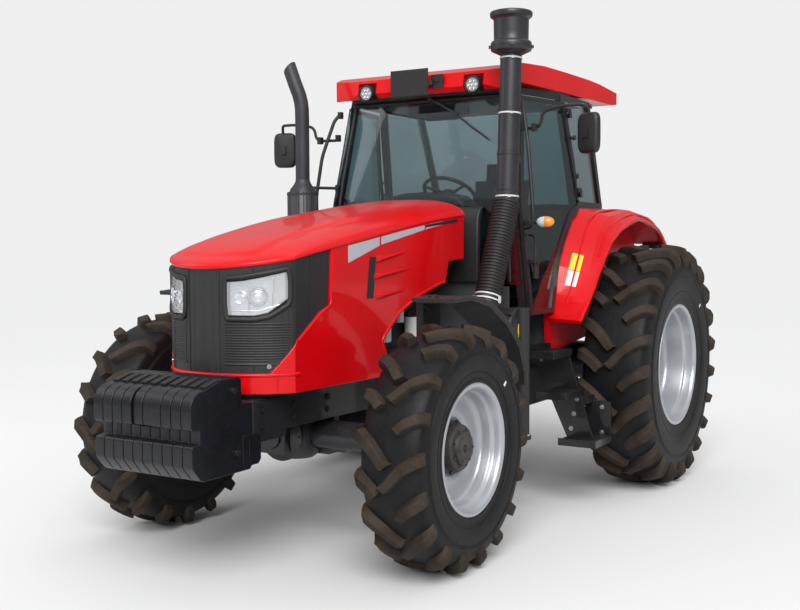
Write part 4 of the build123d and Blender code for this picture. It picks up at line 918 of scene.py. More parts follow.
for a, z, r, deep in ((36.0, 1.490, 0.048, 0.030), (25.0, 1.480, 0.036, 0.016)):
    p, o = nose_spot(Vector((a, 0, z)))
    cup = [(0, r), (deep * 0.3, r * 1.04), (deep * 0.8, r * 1.02),
           (deep * 0.8, r * 0.92), (deep * 0.4, r * 0.80), (0.002, r * 0.5), (0.002, r * 0.45),
           (deep * 0.5, r * 0.43), (deep * 0.5, CORE), (0, CORE)]
    cells.lathe(p - o * 0.018, o, cup, 40)
both(cells, "lamp_projectors", "chrome", "bonnet", angle=50)
bulbs = Shape()
p, o = nose_spot(Vector((36.0, 0, 1.490)))
BEAD = [(0, 0.021), (0.006, 0.0205), (0.011, 0.016), (0.014, 0.009), (0.015, CORE), (0, CORE)]
bulbs.lathe(p - o * 0.008, o, BEAD, 32)
both(bulbs, "lamp_bulbs", "lens", "bonnet", angle=60)
dividers = Shape()
for a, z0, z1 in ((30.0, 1.405, 1.560), (45.0, 1.440, 1.592)):
    p0, o = nose_spot(Vector((a, 0, z0)))
    p1, o = nose_spot(Vector((a + 1.5, 0, z1)))
    dividers.sweep([p0 - o * 0.012, p1 - o * 0.012], 0.006, 8)
for z in (1.552, 1.416):
    rise = [0.04 * j / 12 if z > 1.5 else 0.03 * max(0, j - 7) / 5 for j in range(13)]
    points = [nose_spot(Vector((19 + 30 * j / 12, 0, z + rise[j]))) for j in range(13)]
    dividers.sweep([q - o * 0.010 for q, o in points], 0.0045, 8)
both(dividers, "lamp_dividers", "steel", "bonnet")
cover = sheet_on(grow(LAMP_LOW, 0.8, -0.008), grow(LAMP_HIGH, 0.8, 0.008), nose_spot, 0.004, 60, 8, 0.003)
left_cover = both(cover, "lamp_cover", "clear", "bonnet", angle=60)
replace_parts(left_cover, "headlamps")

# ---------------------------------------------------------------- front weights
PITCH = 0.065
NOSE = -2.4625                # foremost face of the weights
UPPER = [(NOSE + 0.010, 0.878), (NOSE + 0.002, 0.890), (NOSE, 0.905), (NOSE, 0.985), (NOSE + 0.006, 1.008),
         (NOSE + 0.024, 1.034), (NOSE + 0.060, 1.056), (NOSE + 0.120, 1.064), (-2.240, 1.100),
         (-2.112, 1.100), (-2.090, 1.086), (-2.086, 0.962), (-2.006, 0.960), (-2.004, 0.645),
         (-2.030, 0.622), (-2.372, 0.620), (-2.400, 0.632), (NOSE + 0.014, 0.690), (NOSE + 0.006, 0.706),
         (NOSE + 0.006, 0.792), (NOSE + 0.014, 0.802), (NOSE + 0.058, 0.806), (NOSE + 0.062, 0.812),
         (NOSE + 0.062, 0.866), (NOSE + 0.058, 0.872)]
weights = Shape()
for i in range(10):
    x = (i - 5) * PITCH
    step = 0.012 if i in (4, 5) else 0.0
    outline = [(y + (step if y < -2.30 and z > 0.87 else 0), z) for y, z in UPPER]
    weights.prism(outline, x + 0.0022, x + PITCH - 0.0022)
ob = weights.make("front_weight_slabs", "weight", bevel=0.006, segments=3)
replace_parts(ob, "front_weights")
grips = Shape()
for i in range(10):
    x = (i - 4.5) * PITCH
    tilt = Matrix.Translation((x, -2.292, 1.0860)) @ Matrix.Rotation(radians(14.5), 4, "X")
    grips.block((-0.019, 0.019), (-0.052, 0.055), (-0.010, 0.003), tilt)
grips.make("weight_slots", "rubber", bevel=0.002)
core = Shape().block((-0.322, 0.322), (-2.26, -2.10), (0.72, 1.04))
for y, z in ((-2.155, 1.035), (-2.135, 0.720)):
    core.rod((-0.338, y, z), (0.338, y, z), 0.016)
core.make("weight_core", "chassis")
cheeks = Shape()
DISH = [(0, 0.030), (0.003, 0.030), (0.003, 0.024), (0.0005, 0.022), (0.0005, CORE), (0, CORE)]
for y, z in ((-2.155, 1.035), (-2.135, 0.720), (-2.16, 0.845)):
    cheeks.lathe((0.3228, y, z), (1, 0, 0), DISH, 32)
for y, z in ((-2.155, 1.035), (-2.135, 0.720)):
    cheeks.bolt((0.3228, y, z), (1, 0, 0), 0.013, 0.014)
cheeks.prism(oval((-2.16, 0.848), (0.062, 0.030), 32), 0.3228, 0.3268)
cheeks.prism([(-2.31, 1.020), (-2.20, 1.058), (-2.195, 1.046), (-2.305, 1.008)], 0.3228, 0.3262)
both(cheeks, "weight_cheek", "weight", bevel=0.001)
lug = Shape()
lug.prism([(-2.085, 0.800), (-1.975, 0.800), (-1.945, 0.782), (-1.945, 0.660), (-1.965, 0.640),
           (-2.085, 0.640)], 0.29, 0.325)
lug.prism([(-2.040, 0.770), (-1.965, 0.768), (-1.965, 0.690), (-2.040, 0.690)], 0.325, 0.328)
both(lug, "weight_lug", "weight", bevel=0.005)
carrier = Shape().block((0.20, 0.318), (-1.995, -1.935), (0.66, 0.955))
carrier.block((0.235, 0.30), (-1.98, -1.70), (0.74, 0.95))
for y, z in ((-1.90, 0.90), (-1.90, 0.81), (-1.62, 0.90), (-1.30, 0.90), (-1.62, 0.83), (-1.30, 0.83)):
    carrier.bolt((0.2955, y, z), (1, 0, 0), 0.014, 0.012)
both(carrier, "weight_carrier", "chassis", bevel=0.003)

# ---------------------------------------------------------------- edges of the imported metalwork
# Node: width of its rounded edges. Flat glass keeps its edges.
SOFT = {
    "roof": 0.022, "rear_fenders": 0.009, "bonnet_sides": 0.004, "cab_frame": 0.007, "door_left": 0.006,
    "door_right": 0.006, "battery_box": 0.012, "steps": 0.004, "front_fender_left": 0.008,
    "front_fender_right": 0.008, "fuel_tank": 0.012, "roof_liner": 0.01, "plate_holder": 0.003,
    "air_cleaner": 0.006, "front_support": 0.006, "front_axle_beam": 0.010, "knuckle_left": 0.010,
    "knuckle_right": 0.010, "gearbox": 0.016, "rear_axle": 0.014, "drawbar": 0.005, "lift_arms": 0.006,
    "lower_links": 0.005, "lift_rods": 0.004, "engine": 0.012, "radiator": 0.006, "cab_floor": 0.006,
    "door_glass_left": 0, "door_glass_right": 0, "windscreen": 0, "rear_glass": 0,
}
for node, width in SOFT.items():
    soften(node, width, 0.4 if node == "bonnet_sides" else 1.5)

# ---------------------------------------------------------------- roof, lamps, wiper
LAMP = Vector((0.42, 0, 2.806))
GLASS = [(-0.008, CORE), (-0.009, 0.030), (-0.007, 0.047), (-0.002, 0.047), (-0.002, CORE)]
POD = [(0.030, 0.056), (-0.006, 0.058), (-0.014, 0.056), (-0.016, 0.050), (-0.010, 0.047), (-0.002, 0.046),
       (0.006, 0.030), (0.008, CORE)]
pod = Shape().plug(LAMP + Vector((0, 0.196, 0)), (0, 1, 0.06), POD, 40)
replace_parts(both(pod, "roof_lamp_pod", "plastic", angle=40), "cab_lamps")
front = Shape().lathe(LAMP + Vector((0, 0.196, 0)), (0, 1, 0.06), GLASS, 40)
both(front, "roof_lamp_glass", "clear", angle=40)
CELL = [(0, 0.013), (0.004, 0.0125), (0.004, 0.010), (0.001, 0.006), (0.001, CORE), (0, CORE)]
BULB = [(0, 0.006), (0.003, 0.004), (0.004, CORE), (0, CORE)]
spots = [(0, 0)] + [(0.027 * cos(t), 0.027 * sin(t)) for t in turns(6)]
dots, bulb = Shape(), Shape()
for a, b in spots:
    dots.lathe(LAMP + Vector((a, 0.199, b)), (0, -1, 0), CELL, 20)
    bulb.lathe(LAMP + Vector((a, 0.197, b)), (0, -1, 0), BULB, 12)
both(dots, "roof_lamp_cells", "chrome")
both(bulb, "roof_lamp_bulbs", "lens")
holder = Shape().block((-0.186, 0.095), (0.1475, 0.1500), (2.757, 2.927))
holder.make("plate_face", "plastic", bevel=0.004)
bracket = Shape().block((0.110, 0.200), (0.180, 0.1985), (2.800, 2.890))
bracket.block((0.102, 0.135), (0.155, 0.185), (2.82, 2.85))
bracket.bolt((0.165, 0.180, 2.845), (0, -1, 0), 0.009, 0.008)
bracket.make("plate_bracket", "plastic", bevel=0.003)
under_roof = Shape().block((-0.59, 0.59), (0.27, 0.36), (2.755, 2.80))
under_roof.make("roof_under_trim", "plastic", bevel=0.006)
wiper = Shape().plug((0.03, 0.318, 2.748), (0, -1, 0.15), [(0, 0.020), (0.020, 0.018), (0.028, 0.010)], 24)
wiper.pipe([(0.03, 0.298, 2.748), (0.12, 0.293, 2.708), (0.345, 0.268, 2.560)], 0.0055, 0.03)
wiper.pipe([(0.05, 0.296, 2.728), (0.14, 0.291, 2.690), (0.350, 0.268, 2.552)], 0.004, 0.03)
wiper.pipe([(0.20, 0.290, 2.66), (0.36, 0.262, 2.545), (0.50, 0.247, 2.452)], 0.0065, 0.03)
wiper.make("wiper_arm", "plastic")
blade = Shape().pipe([(0.215, 0.300, 2.645), (0.36, 0.2735, 2.538), (0.515, 0.256, 2.436)], 0.0045, 0.03)
blade.make("wiper_blade", "rubber")

# ---------------------------------------------------------------- glass seals, cab inside
seal = Shape()
for sx in (1, -1):
    seal.pipe([(sx * 0.70, 0.188, 1.50), (sx * 0.672, 0.212, 2.05), (sx * 0.600, 0.336, 2.735)], 0.011, 0.3)
seal.pipe([(-0.60, 0.336, 2.738), (0.60, 0.336, 2.738)], 0.012)
seal.make("windscreen_seal", "rubber")
cowl = Shape()
cowl.prism([(0.105, 1.50), (0.150, 1.50), (0.166, 1.90), (0.200, 1.985), (0.200, 2.000), (0.160, 1.985),
            (0.120, 1.92)], -0.50, 0.50)
cowl.make("cowl_panel", "plastic", bevel=0.008)


def pad(name, centre, size, crown, tilt=0.0, channels=()):
    """Crowned closed cushion with rounded edges and sewn channels across it."""
    n = 28
    sides = []
    half = Vector(size) / 2
    turn = Matrix.Translation(centre) @ Matrix.Rotation(tilt, 4, "X")
    steps = [2 * i / n - 1 for i in range(n + 1)]
    for side in (1, -1):
        points = []
        for u, v in ((u, v) for u in steps for v in steps):
            bulge = (1 - abs(u) ** 4) ** 0.5 * (1 - abs(v) ** 4) ** 0.5
            z = half.z * (0.25 + 0.75 * bulge)
            if side > 0:
                z += crown * (1 - u * u) * (1 - v * v)
                z -= sum(0.010 * max(0.0, 1 - abs(v - c) / 0.06) for c in channels) * bulge
            waist = 1 - 0.025 * (1 - abs(u * v)) if abs(u) > 0.9 else 1
            points.append(turn @ Vector((u * half.x * waist, v * half.y, side * z)))
        sides.append(points)
    ob = slab(*sides, n, n).make(name, "fabric", angle=70)
    return ob


cushion = pad("seat_cushion", (0, 1.205, 1.640), (0.49, 0.47, 0.105), 0.018,
              radians(4), channels=(-0.35, 0.25))
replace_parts(cushion, "operator_seat")
pad("seat_back", (0, 1.455, 1.960), (0.46, 0.56, 0.105), 0.016, radians(82), channels=(-0.4, 0.0, 0.4))
pad("seat_head", (0, 1.492, 2.290), (0.27, 0.16, 0.08), 0.010, radians(82))
for sx in (1, -1):
    pad("seat_arm_left" if sx > 0 else "seat_arm_right",
        (sx * 0.275, 1.30, 1.815), (0.07, 0.30, 0.055), 0.006)
base = Shape()
base.block((-0.20, 0.20), (1.06, 1.39), (1.2705, 1.34)).block((-0.19, 0.19), (1.07, 1.38), (1.52, 1.580))
for k in range(7):
    fold = 0.006 * (k % 2)
    base.block((-0.175 + fold, 0.175 - fold), (1.09 + fold, 1.36 - fold),
               (1.335 + k * 0.027, 1.362 + k * 0.027))
base.block((-0.235, 0.235), (1.00, 1.42), (1.575, 1.596)).block((-0.21, 0.21), (1.49, 1.525), (1.62, 2.22))
for sx in (1, -1):
    base.pipe([(sx * 0.275, 1.49, 1.66), (sx * 0.275, 1.47, 1.785), (sx * 0.275, 1.18, 1.782)], 0.013, 0.04)
    base.rod((sx * 0.06, 1.505, 2.18), (sx * 0.06, 1.505, 2.27), 0.007)
base.make("seat_frame", "plastic", bevel=0.006)

dash = Shape()
dash.prism([(0.245, 1.06), (0.415, 1.06), (0.40, 1.60), (0.44, 1.90), (0.26, 1.92),
            (0.245, 1.60)], -0.165, 0.165)
ob = dash.make("dash_column", "trim", bevel=0.03, segments=4)
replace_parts(ob, "dashboard")
hump = Shape()
top = [(-0.345, 1.935), (-0.350, 1.985), (-0.325, 2.035), (-0.265, 2.078), (-0.15, 2.100), (0, 2.106),
       (0.15, 2.100), (0.265, 2.078), (0.325, 2.035), (0.350, 1.985), (0.345, 1.935), (0.20, 1.915),
       (-0.20, 1.915)]
hump.prism(top, 0.232, 0.440, axis="y")
hump.make("dash_hood", "plastic", bevel=0.022, segments=4)
face = Shape()
face.prism([(-0.27, 1.955), (-0.25, 2.03), (-0.15, 2.066), (0.15, 2.066), (0.25, 2.03),
            (0.27, 1.955)], 0.439, 0.444, axis="y")
face.make("dash_face", "rubber")
dials = Shape()
for x, r in ((-0.16, 0.038), (0, 0.050), (0.16, 0.038)):
    dial = [(0, r), (0.006, r), (0.006, r * 0.9), (0.002, r * 0.88), (0.002, CORE), (0, CORE)]
    dials.lathe((x, 0.443, 2.005), (0, 1, 0), dial, 32)
dials.make("dash_dials", "steel")
wheel = Shape()
axis = Vector((0, 0.55, 0.84)).normalized()
boss = Vector((0, 0.64, 2.110))
right = Vector((1, 0, 0))
upward = axis.cross(right).normalized()
points = [boss + (right * cos(t) + upward * sin(t)) * 0.19 for t in [*turns(64), 2 * pi]]
wheel.sweep(points, 0.0135, 16, caps=False)
for t in (radians(90), radians(210), radians(330)):
    way = right * cos(t) + upward * sin(t)
    wheel.sweep([boss - axis * 0.012, boss + way * 0.09 - axis * 0.008,
                 boss + way * 0.187], [0.018, 0.012, 0.010], 12)
wheel.plug(boss - axis * 0.03, axis, [(0, 0.045), (0.030, 0.052), (0.040, 0.044), (0.044, CORE)], 32)
wheel.sweep([(0, 0.41, 1.955), tuple(boss - axis * 0.028)], 0.030, 24)
wheel.make("steering_wheel", "rubber", angle=50)
console = Shape()
console.prism([(0.90, 1.272), (1.50, 1.272), (1.52, 1.60), (1.42, 1.70), (1.02, 1.66),
               (0.92, 1.50)], -0.60, -0.36)
console.prism([(0.96, 1.272), (1.50, 1.272), (1.50, 1.52), (1.02, 1.50)], 0.40, 0.60)
console.make("side_consoles", "trim", bevel=0.03, segments=4)
levers = Shape()
KNOB = [(0, 0.006), (0.006, 0.014), (0.030, 0.018), (0.044, 0.013), (0.048, CORE), (0, CORE)]
for x, y, z, h in ((-0.50, 1.06, 1.66, 0.17), (-0.44, 1.12, 1.67, 0.15), (-0.50, 1.22, 1.68, 0.14),
                   (-0.42, 1.28, 1.69, 0.13), (0.50, 1.1, 1.50, 0.24)):
    levers.sweep([(x, y, z - 0.03), (x, y - 0.02, z + h)], [0.006, 0.005], 10)
    levers.lathe((x, y - 0.02, z + h - 0.02), (0, -0.1, 1), KNOB, 20)
levers.make("levers", "rubber")
pedals = Shape()
for x in (-0.24, -0.10, 0.24):
    pedals.pipe([(x, 0.24, 1.36), (x, 0.36, 1.18)], 0.009)
    pedals.box((x, 0.39, 1.175), (0.075, 0.016, 0.09))
pedals.make("pedals", "rubber", bevel=0.004)
mirror_in = Shape()
mirror_in.box((0.02, 0.50, 2.655), (0.26, 0.022, 0.075)).rod((0.02, 0.47, 2.745), (0.02, 0.505, 2.66), 0.008)
mirror_in.make("inside_mirror", "plastic", bevel=0.010, segments=3)
visor = Shape().prism([(0.352, 2.748), (0.372, 2.748), (0.362, 2.630), (0.346, 2.630)], -0.17, 0.31)
visor.make("sun_visor", "plastic", bevel=0.005)
liner = Shape().block((-0.60, 0.60), (0.42, 1.40), (2.742, 2.770))
liner.make("headliner", "trim", bevel=0.02)

# ---------------------------------------------------------------- intake stack, hose and exhaust
FOOT = Vector((0.752, -0.240, 1.404))
JOINT = Vector((0.768, 0.002, 2.010))
TOP = Vector((0.768, 0.060, 2.960))
way = (TOP - JOINT).normalized()
length = (TOP - JOINT).length
stack = Shape()
stack.plug(JOINT - way * 0.03, way, [
    (0, 0.0765), (0.030, 0.0765), (0.034, 0.071), (0.105, 0.071), (0.108, 0.0735), (0.122, 0.0735),
    (0.125, 0.071), (0.330, 0.070), (0.333, 0.0735), (0.350, 0.0735), (0.353, 0.0695), (0.605, 0.0690),
    (0.608, 0.0725), (0.624, 0.0725), (0.627, 0.0685), (length + 0.025, 0.0680)], 56)
stack.plug(TOP, (0, 0, 1), [
    (-0.012, 0.080), (0.000, 0.104), (0.010, 0.126), (0.016, 0.130), (0.052, 0.1305), (0.062, 0.128),
    (0.070, 0.121), (0.074, 0.112), (0.080, 0.110), (0.120, 0.1105), (0.180, 0.1115), (0.205, 0.112),
    (0.214, 0.120), (0.222, 0.132), (0.232, 0.135), (0.246, 0.135), (0.253, 0.131), (0.257, 0.120),
    (0.260, 0.085), (0.268, 0.070), (0.270, CORE)], 72)
for t in turns(4, 0.5):
    clip = Matrix.Translation(TOP + Vector((0.136 * cos(t), 0.136 * sin(t), 0.036)))
    stack.box((0, 0, 0), (0.014, 0.030, 0.016), clip @ Matrix.Rotation(t, 4, "Z"))
for z0 in (2.300, 2.560):
    near = JOINT + way * ((z0 - JOINT.z) / way.z)
    far = Vector((0.6805 + (2.7 - z0) * 0.12, 0.262 if z0 < 2.4 else 0.309, z0))
    stack.sweep([near, far], 0.010, 10)
    stack.box(far, (0.020, 0.030, 0.050))
ob = stack.make("intake_pipe", "stack", angle=34)
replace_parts(ob, "intake_stack")
clamps = Shape()
for share_z, r, wide in ((0.038, 0.0735, 0.010), (0.590, 0.0715, 0.010), (0.957, 0.0705, 0.009)):
    spot = JOINT + way * length * share_z
    clamps.hoop(spot, way, r - 0.004, r + 0.0015, wide, 56)
    clamps.box(tuple(spot + Vector((0.045, -0.060, wide / 2))), (0.016, 0.012, 0.014))
clamps.make("stack_clamps", "filter", angle=40)
down = (FOOT - JOINT).normalized()
run = (FOOT - JOINT).length
RIB = [(0, 0.0770), (0.18, 0.0815), (0.32, 0.0850), (0.55, 0.0850), (0.70, 0.0815), (0.86, 0.0770)]
rib = (run - 0.03) / 30
ribs = [(-0.002 + rib * (k + s), r) for k in range(30) for s, r in RIB]
hose = Shape().plug(JOINT, down, [(-0.004, 0.0765), *ribs, (run - 0.028, 0.080), (run + 0.01, 0.080)], 48)
ob = hose.make("ribbed_hose", "rubber", angle=28)
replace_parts(ob, "intake_hose")
foot = Shape()
for a, r in ((run - 0.030, 0.0835), (run - 0.002, 0.0835)):
    spot = JOINT + down * a
    foot.hoop(spot, down, r - 0.004, r, 0.010)
for sx in (-1, 1):
    foot.box(tuple(FOOT + Vector((sx * 0.088, -0.006, 0.005))), (0.010, 0.020, 0.045))
foot.make("hose_clamps", "filter", bevel=0.001)

x, y = -0.830, -0.010
pipe = Shape()
pipe.plug((x, y, 1.500), (0, 0, 1), [
    (0.045, 0.095), (0.050, 0.100), (0.600, 0.100), (0.640, 0.088), (0.668, 0.066), (0.690, 0.054),
    (0.705, 0.050)], 56)
bend = [(x, y, 2.19), (x, y, 2.62), (x - 0.001, y, 2.70), (x - 0.007, y - 0.002, 2.752),
        (x - 0.021, y - 0.005, 2.805), (x - 0.041, y - 0.009, 2.856), (x - 0.060, y - 0.012, 2.905),
        (x - 0.074, y - 0.015, 2.945)]
pipe.sweep(bend, 0.0495, 40)
# The mouth is cut at a slant.
axis = (Vector(bend[-1]) - Vector(bend[-2])).normalized()
side = axis.cross(Vector((0, 1, 0))).normalized()
ahead = side.cross(axis).normalized()
rows = []
for r, cut in ((0.0495, 0.0), (0.0495, 1.0), (0.0440, 1.0), (0.0440, 0.1)):
    rows.append([
        Vector(bend[-1]) + (side * cos(t) + ahead * sin(t)) * r
        + axis * (cut * (0.030 + 0.052 * (1 - cos(t)) / 2) - 0.004)
        for t in turns(40)])
base = len(pipe.verts)
pipe.grid(rows, around=True)
pipe.faces.append(tuple(range(base + 120, base + 160)))
pipe.pipe([(x, y, 1.560), (-0.60, -0.10, 1.50), (-0.26, -0.205, 1.390)], 0.045, 0.12, 24)
pipe.sweep([(x + 0.02, y + 0.02, 2.152), (-0.70, 0.236, 2.152)], 0.011, 12)
pipe.box((-0.706, 0.243, 2.152), (0.022, 0.030, 0.050))
ob = pipe.make("exhaust_pipe", "exhaust", angle=36)
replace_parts(ob, "exhaust")
guard = Shape().lathe((x, y, 1.500), (0, 0, 1), [(0, 0.106), (0, 0.110), (0.615, 0.110), (0.620, 0.106)], 64)
guard.make("exhaust_guard", "guard", angle=40)
bands = Shape()
for z0 in (1.505, 1.800, 2.095):
    bands.hoop((x, y, z0), (0, 0, 1), 0.108, 0.1125, 0.016, 56)
bands.make("guard_bands", "exhaust")

# ---------------------------------------------------------------- mirrors, rails, turn lamps
mirror = Shape()
mirror.pipe([(0.724, 0.305, 2.684), (0.752, 0.275, 2.640), (0.818, 0.212, 2.380),
             (0.868, 0.176, 1.980), (0.868, 0.176, 1.860), (0.790, 0.205, 1.850)], 0.0125, 0.05)
mirror.pipe([(0.748, 0.285, 2.500), (0.890, 0.245, 2.500), (0.906, 0.240, 2.600),
             (1.06, 0.222, 2.626), (1.190, 0.236, 2.628), (1.212, 0.262, 2.600),
             (1.212, 0.270, 2.48)], 0.0105, 0.05)
mirror.box((0.850, 0.235, 2.500), (0.030, 0.040, 0.050))
for z0 in (2.680, 1.880, 2.516):
    mirror.box((0.716 + (2.68 - z0) * 0.10, 0.262 + (z0 - 1.88) * 0.05, z0), (0.030, 0.034, 0.048))
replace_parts(both(mirror, "mirror_arm", "plastic", bevel=0.002), "mirrors")


def oblong(x, z):
    """Rounded oblong with the given half sizes."""
    def bend(reach, c):
        return reach * abs(c) ** 0.42 * (1 if c > 0 else -1)

    return [(bend(x, cos(t)), bend(z, sin(t))) for t in turns(40)]


turn = Matrix.Translation((1.206, 0.282, 2.450)) @ Matrix.Rotation(radians(-21.7), 4, "Z")
SHELL = ((-0.026, 0.80), (-0.022, 0.92), (-0.010, 0.985), (0.008, 1.0), (0.016, 0.99))
shell = []
for depth, size in SHELL:
    shell.append([(px * size, depth, pz * size) for px, pz in oblong(0.085, 0.130)])
head = Shape().grid(shell, around=True, ends=True, place=turn)
head.box((0, 0, 0), (0.03, 0.030, 0.06), turn @ Matrix.Translation((0, -0.032, 0.0)))
both(head, "mirror_head", "plastic", angle=50)
pane = Shape().prism(oblong(0.078, 0.122), 0.0165, 0.0180, axis="y", place=turn)
both(pane, "mirror_pane", "mirror")
turnlamp = Shape().plug((0.880, 0.175, 1.889), (1, 0, 0), [(0, 0.013), (0.10, 0.013)], 20)
turnlamp.plug((0.966, 0.152, 1.889), (0, 1, 0), [(0.020, 0.040), (0.034, 0.034), (0.040, CORE)], 32)
both(turnlamp, "turn_lamp_foot", "plastic")
DOME = [(0.0, CORE), (0.0, 0.036), (0.012, 0.0355), (0.030, 0.032), (0.046, 0.024),
        (0.056, 0.012), (0.058, CORE)]
white_half = Shape().lathe((0.966, 0.152, 1.889), (-1, -0.12, 0), DOME, 40)
amber_half = Shape().lathe((0.967, 0.152, 1.889), (1, 0.12, 0), DOME, 40)
both(white_half, "turn_lamp_white", "lens", angle=50)
both(amber_half, "turn_lamp_amber", "amber", angle=50)
fittings = Shape()
for y, z in ((1.010, 2.225), (0.955, 2.49)):
    fittings.plug((0.800, y, z), (1, 0, 0),
                  [(0, 0.012), (0.018, 0.010), (0.018, 0.018), (0.032, 0.018), (0.036, 0.014)], 24)
both(fittings, "post_knobs", "rubber")

# ---------------------------------------------------------------- doors
handles = Shape()
handles.pipe([(0.792, 0.275, 1.62), (0.845, 0.262, 1.63), (0.845, 0.268, 1.80),
              (0.792, 0.281, 1.81)], 0.010, 0.03)
handles.box((0.826, 0.318, 1.585), (0.022, 0.055, 0.13))
handles.plug((0.838, 0.318, 1.62), (1, 0, 0), [(0, 0.012), (0.010, 0.011)], 20)
both(handles, "door_handle", "plastic", "left_door", "right_door", bevel=0.004)
rail = Shape()
rail.pipe([(0.735, 0.345, 2.08), (0.70, 0.352, 2.06), (0.70, 0.372, 1.62), (0.735, 0.368, 1.60)], 0.011, 0.05)
both(rail, "door_rail", "plastic", "left_door", "right_door")

# ---------------------------------------------------------------- mudguards
fender_skin = Skin("rear_fenders")
CREST = [(0.510, 1.239), (0.664, 1.388), (0.804, 1.558), (0.900, 1.700), (1.010, 1.850), (1.190, 1.940),
         (1.590, 1.992), (2.040, 1.945), (2.298, 1.758)]
OUTER = [(0.500, 1.237), (0.680, 1.385), (0.835, 1.546), (0.960, 1.665), (1.086, 1.772), (1.285, 1.865),
         (1.638, 1.935), (2.060, 1.870), (2.290, 1.730)]
INNER = [(0.545, 1.247), (0.612, 1.399), (0.700, 1.600), (0.790, 1.738), (0.935, 1.920), (1.083, 2.001),
         (1.530, 2.004), (2.000, 1.975), (2.290, 1.760)]
edge = Shape()
line = smooth_line([(y, z) for y, z in OUTER], 6)
edge.sweep([(1.058, y + 0.004, z - 0.010) for y, z in line], 0.0125, 14)
both(edge, "rear_mudguard_edge", "red", angle=60)
swage = Shape()
for a, b, f, r, k0, k1 in ((OUTER, CREST, 0.50, 0.007, 17, 44), (CREST, INNER, 0.40, 0.007, 4, 44)):
    la, lb = smooth_line(a, 6), smooth_line(b, 6)
    xa, xb = (1.060, 1.000) if a is OUTER else (1.000, 0.800)
    points = []
    for (ya, za), (yb, zb) in list(zip(la, lb))[k0:k1]:
        points.append((xa + (xb - xa) * f, ya + (yb - ya) * f, za + (zb - za) * f - 0.0015))
    swage.sweep(points, r, 12)
both(swage, "rear_mudguard_swage", "red", angle=60)


def on_fender(point):
    spot = fender_skin.cast((point.x, point.y - 0.6, point.z + 0.35), (0, 0.86, -0.51))
    return spot, Vector((0, -0.86, 0.51)).normalized()


def label(name, x0, x1, z0, z1, y0, y1, mat):
    low = [Vector((x0, y0, z0)), Vector((x1, y0, z0))]
    high = [Vector((x0, y1, z1)), Vector((x1, y1, z1))]
    both(sheet_on(low, high, on_fender, 0.0015, 6, 8, 0.002), name, mat)


label("mudguard_label_yellow", 0.880, 0.950, 1.555, 1.665, 0.775, 0.850, "yellow")
label("mudguard_label_white", 0.880, 0.950, 1.455, 1.550, 0.700, 0.772, "white")
rear_lamps = Shape().block((0.86, 1.02), (2.286, 2.312), (1.700, 1.800))
both(rear_lamps, "rear_lamp_box", "plastic", bevel=0.01)
lens_red = Shape().block((0.945, 1.012), (2.311, 2.320), (1.708, 1.792))
lens_amber = Shape().block((0.868, 0.938), (2.311, 2.320), (1.708, 1.792))
both(lens_red, "rear_lamp_red", "red_lens", bevel=0.006)
both(lens_amber, "rear_lamp_amber", "amber", bevel=0.006)

FRONT_EDGE = [(-30, 1462), (200, 1468), (420, 1420), (640, 1300), (800, 1160), (872, 1000), (878, 925)]
guard_line = [(FRONT_Y + y / 1000, z / 1000) for y, z in FRONT_EDGE]
bead = Shape()
for x in (0.804, 1.046):
    bead.sweep([(x, y + 0.002, z - 0.006) for y, z in smooth_line(guard_line, 5)], 0.010, 12)
for y, z in ((FRONT_Y + 0.06, 1.466), (FRONT_Y + 0.14, 1.467)):
    for x in (0.86, 0.90):
        bead.bolt((x, y, z), (0, 0, 1), 0.010, 0.008)
both(bead, "front_mudguard_edge", "plastic", "left_knuckle", "right_knuckle")

# ---------------------------------------------------------------- steps, tanks and air cleaner
treads = Shape()
for x0, x1, y0, y1, z in ((0.846, 1.010, 0.180, 0.480, 1.040), (0.880, 1.080, 0.220, 0.520, 0.773),
                          (1.000, 1.250, 0.300, 0.590, 0.465)):
    for k in range(9):
        y = y0 + 0.016 + (y1 - y0 - 0.032) * k / 8
        treads.box(((x0 + x1) / 2, y, z + 0.004), (x1 - x0 - 0.02, 0.006, 0.014))
    for k in range(7):
        x = x0 + 0.014 + (x1 - x0 - 0.028) * k / 6
        treads.box((x, (y0 + y1) / 2, z + 0.002), (0.005, y1 - y0 - 0.02, 0.010))
    treads.block((x0 - 0.004, x1 + 0.004), (y0 - 0.004, y0 + 0.004), (z - 0.034, z + 0.014))
    treads.block((x1 - 0.004, x1 + 0.006), (y0, y1), (z - 0.034, z + 0.014))
both(treads, "step_grids", "black_paint", bevel=0.001)
stepbolts = Shape()
for y, z in ((0.470, 0.52), (0.470, 0.62), (0.470, 0.72)):
    stepbolts.bolt((1.06 - (0.72 - z) * 0.2, y - 0.0105, z), (0, -1, 0), 0.012, 0.010)
for x, z in ((1.06, 0.66), (1.19, 0.66), (1.19, 0.49)):
    stepbolts.bolt((x, 0.5795, z), (0, -1, 0), 0.012, 0.010)
for y, z in ((0.33, 0.985), (0.43, 0.985)):
    stepbolts.bolt((0.8605, y, z), (1, 0, 0), 0.012, 0.010)
both(stepbolts, "step_bolts", "steel")
drum = Shape()
drum.plug((0.880, -0.063, 1.208), (1, 0, 0), [(-0.02, 0.143), (0.002, 0.143), (0.008, 0.139), (0.010, 0.120),
                                           (0.006, 0.112), (0.006, 0.085), (0.012, 0.075), (0.014, CORE)], 56)
for t in turns(4, pi / 4):
    clip = Matrix.Translation((0.874, -0.063 + 0.143 * cos(t), 1.208 + 0.143 * sin(t)))
    drum.box((0, 0, 0), (0.026, 0.022, 0.040), clip @ Matrix.Rotation(t - pi / 2, 4, "X"))
drum.make("air_cleaner_lid", "plastic", bevel=0.002)
disc = Shape().prism(oval((-0.063, 1.208), (0.036, 0.060), 40), 0.8935, 0.8965)
disc.make("air_cleaner_mark", "yellow", bevel=0.001)
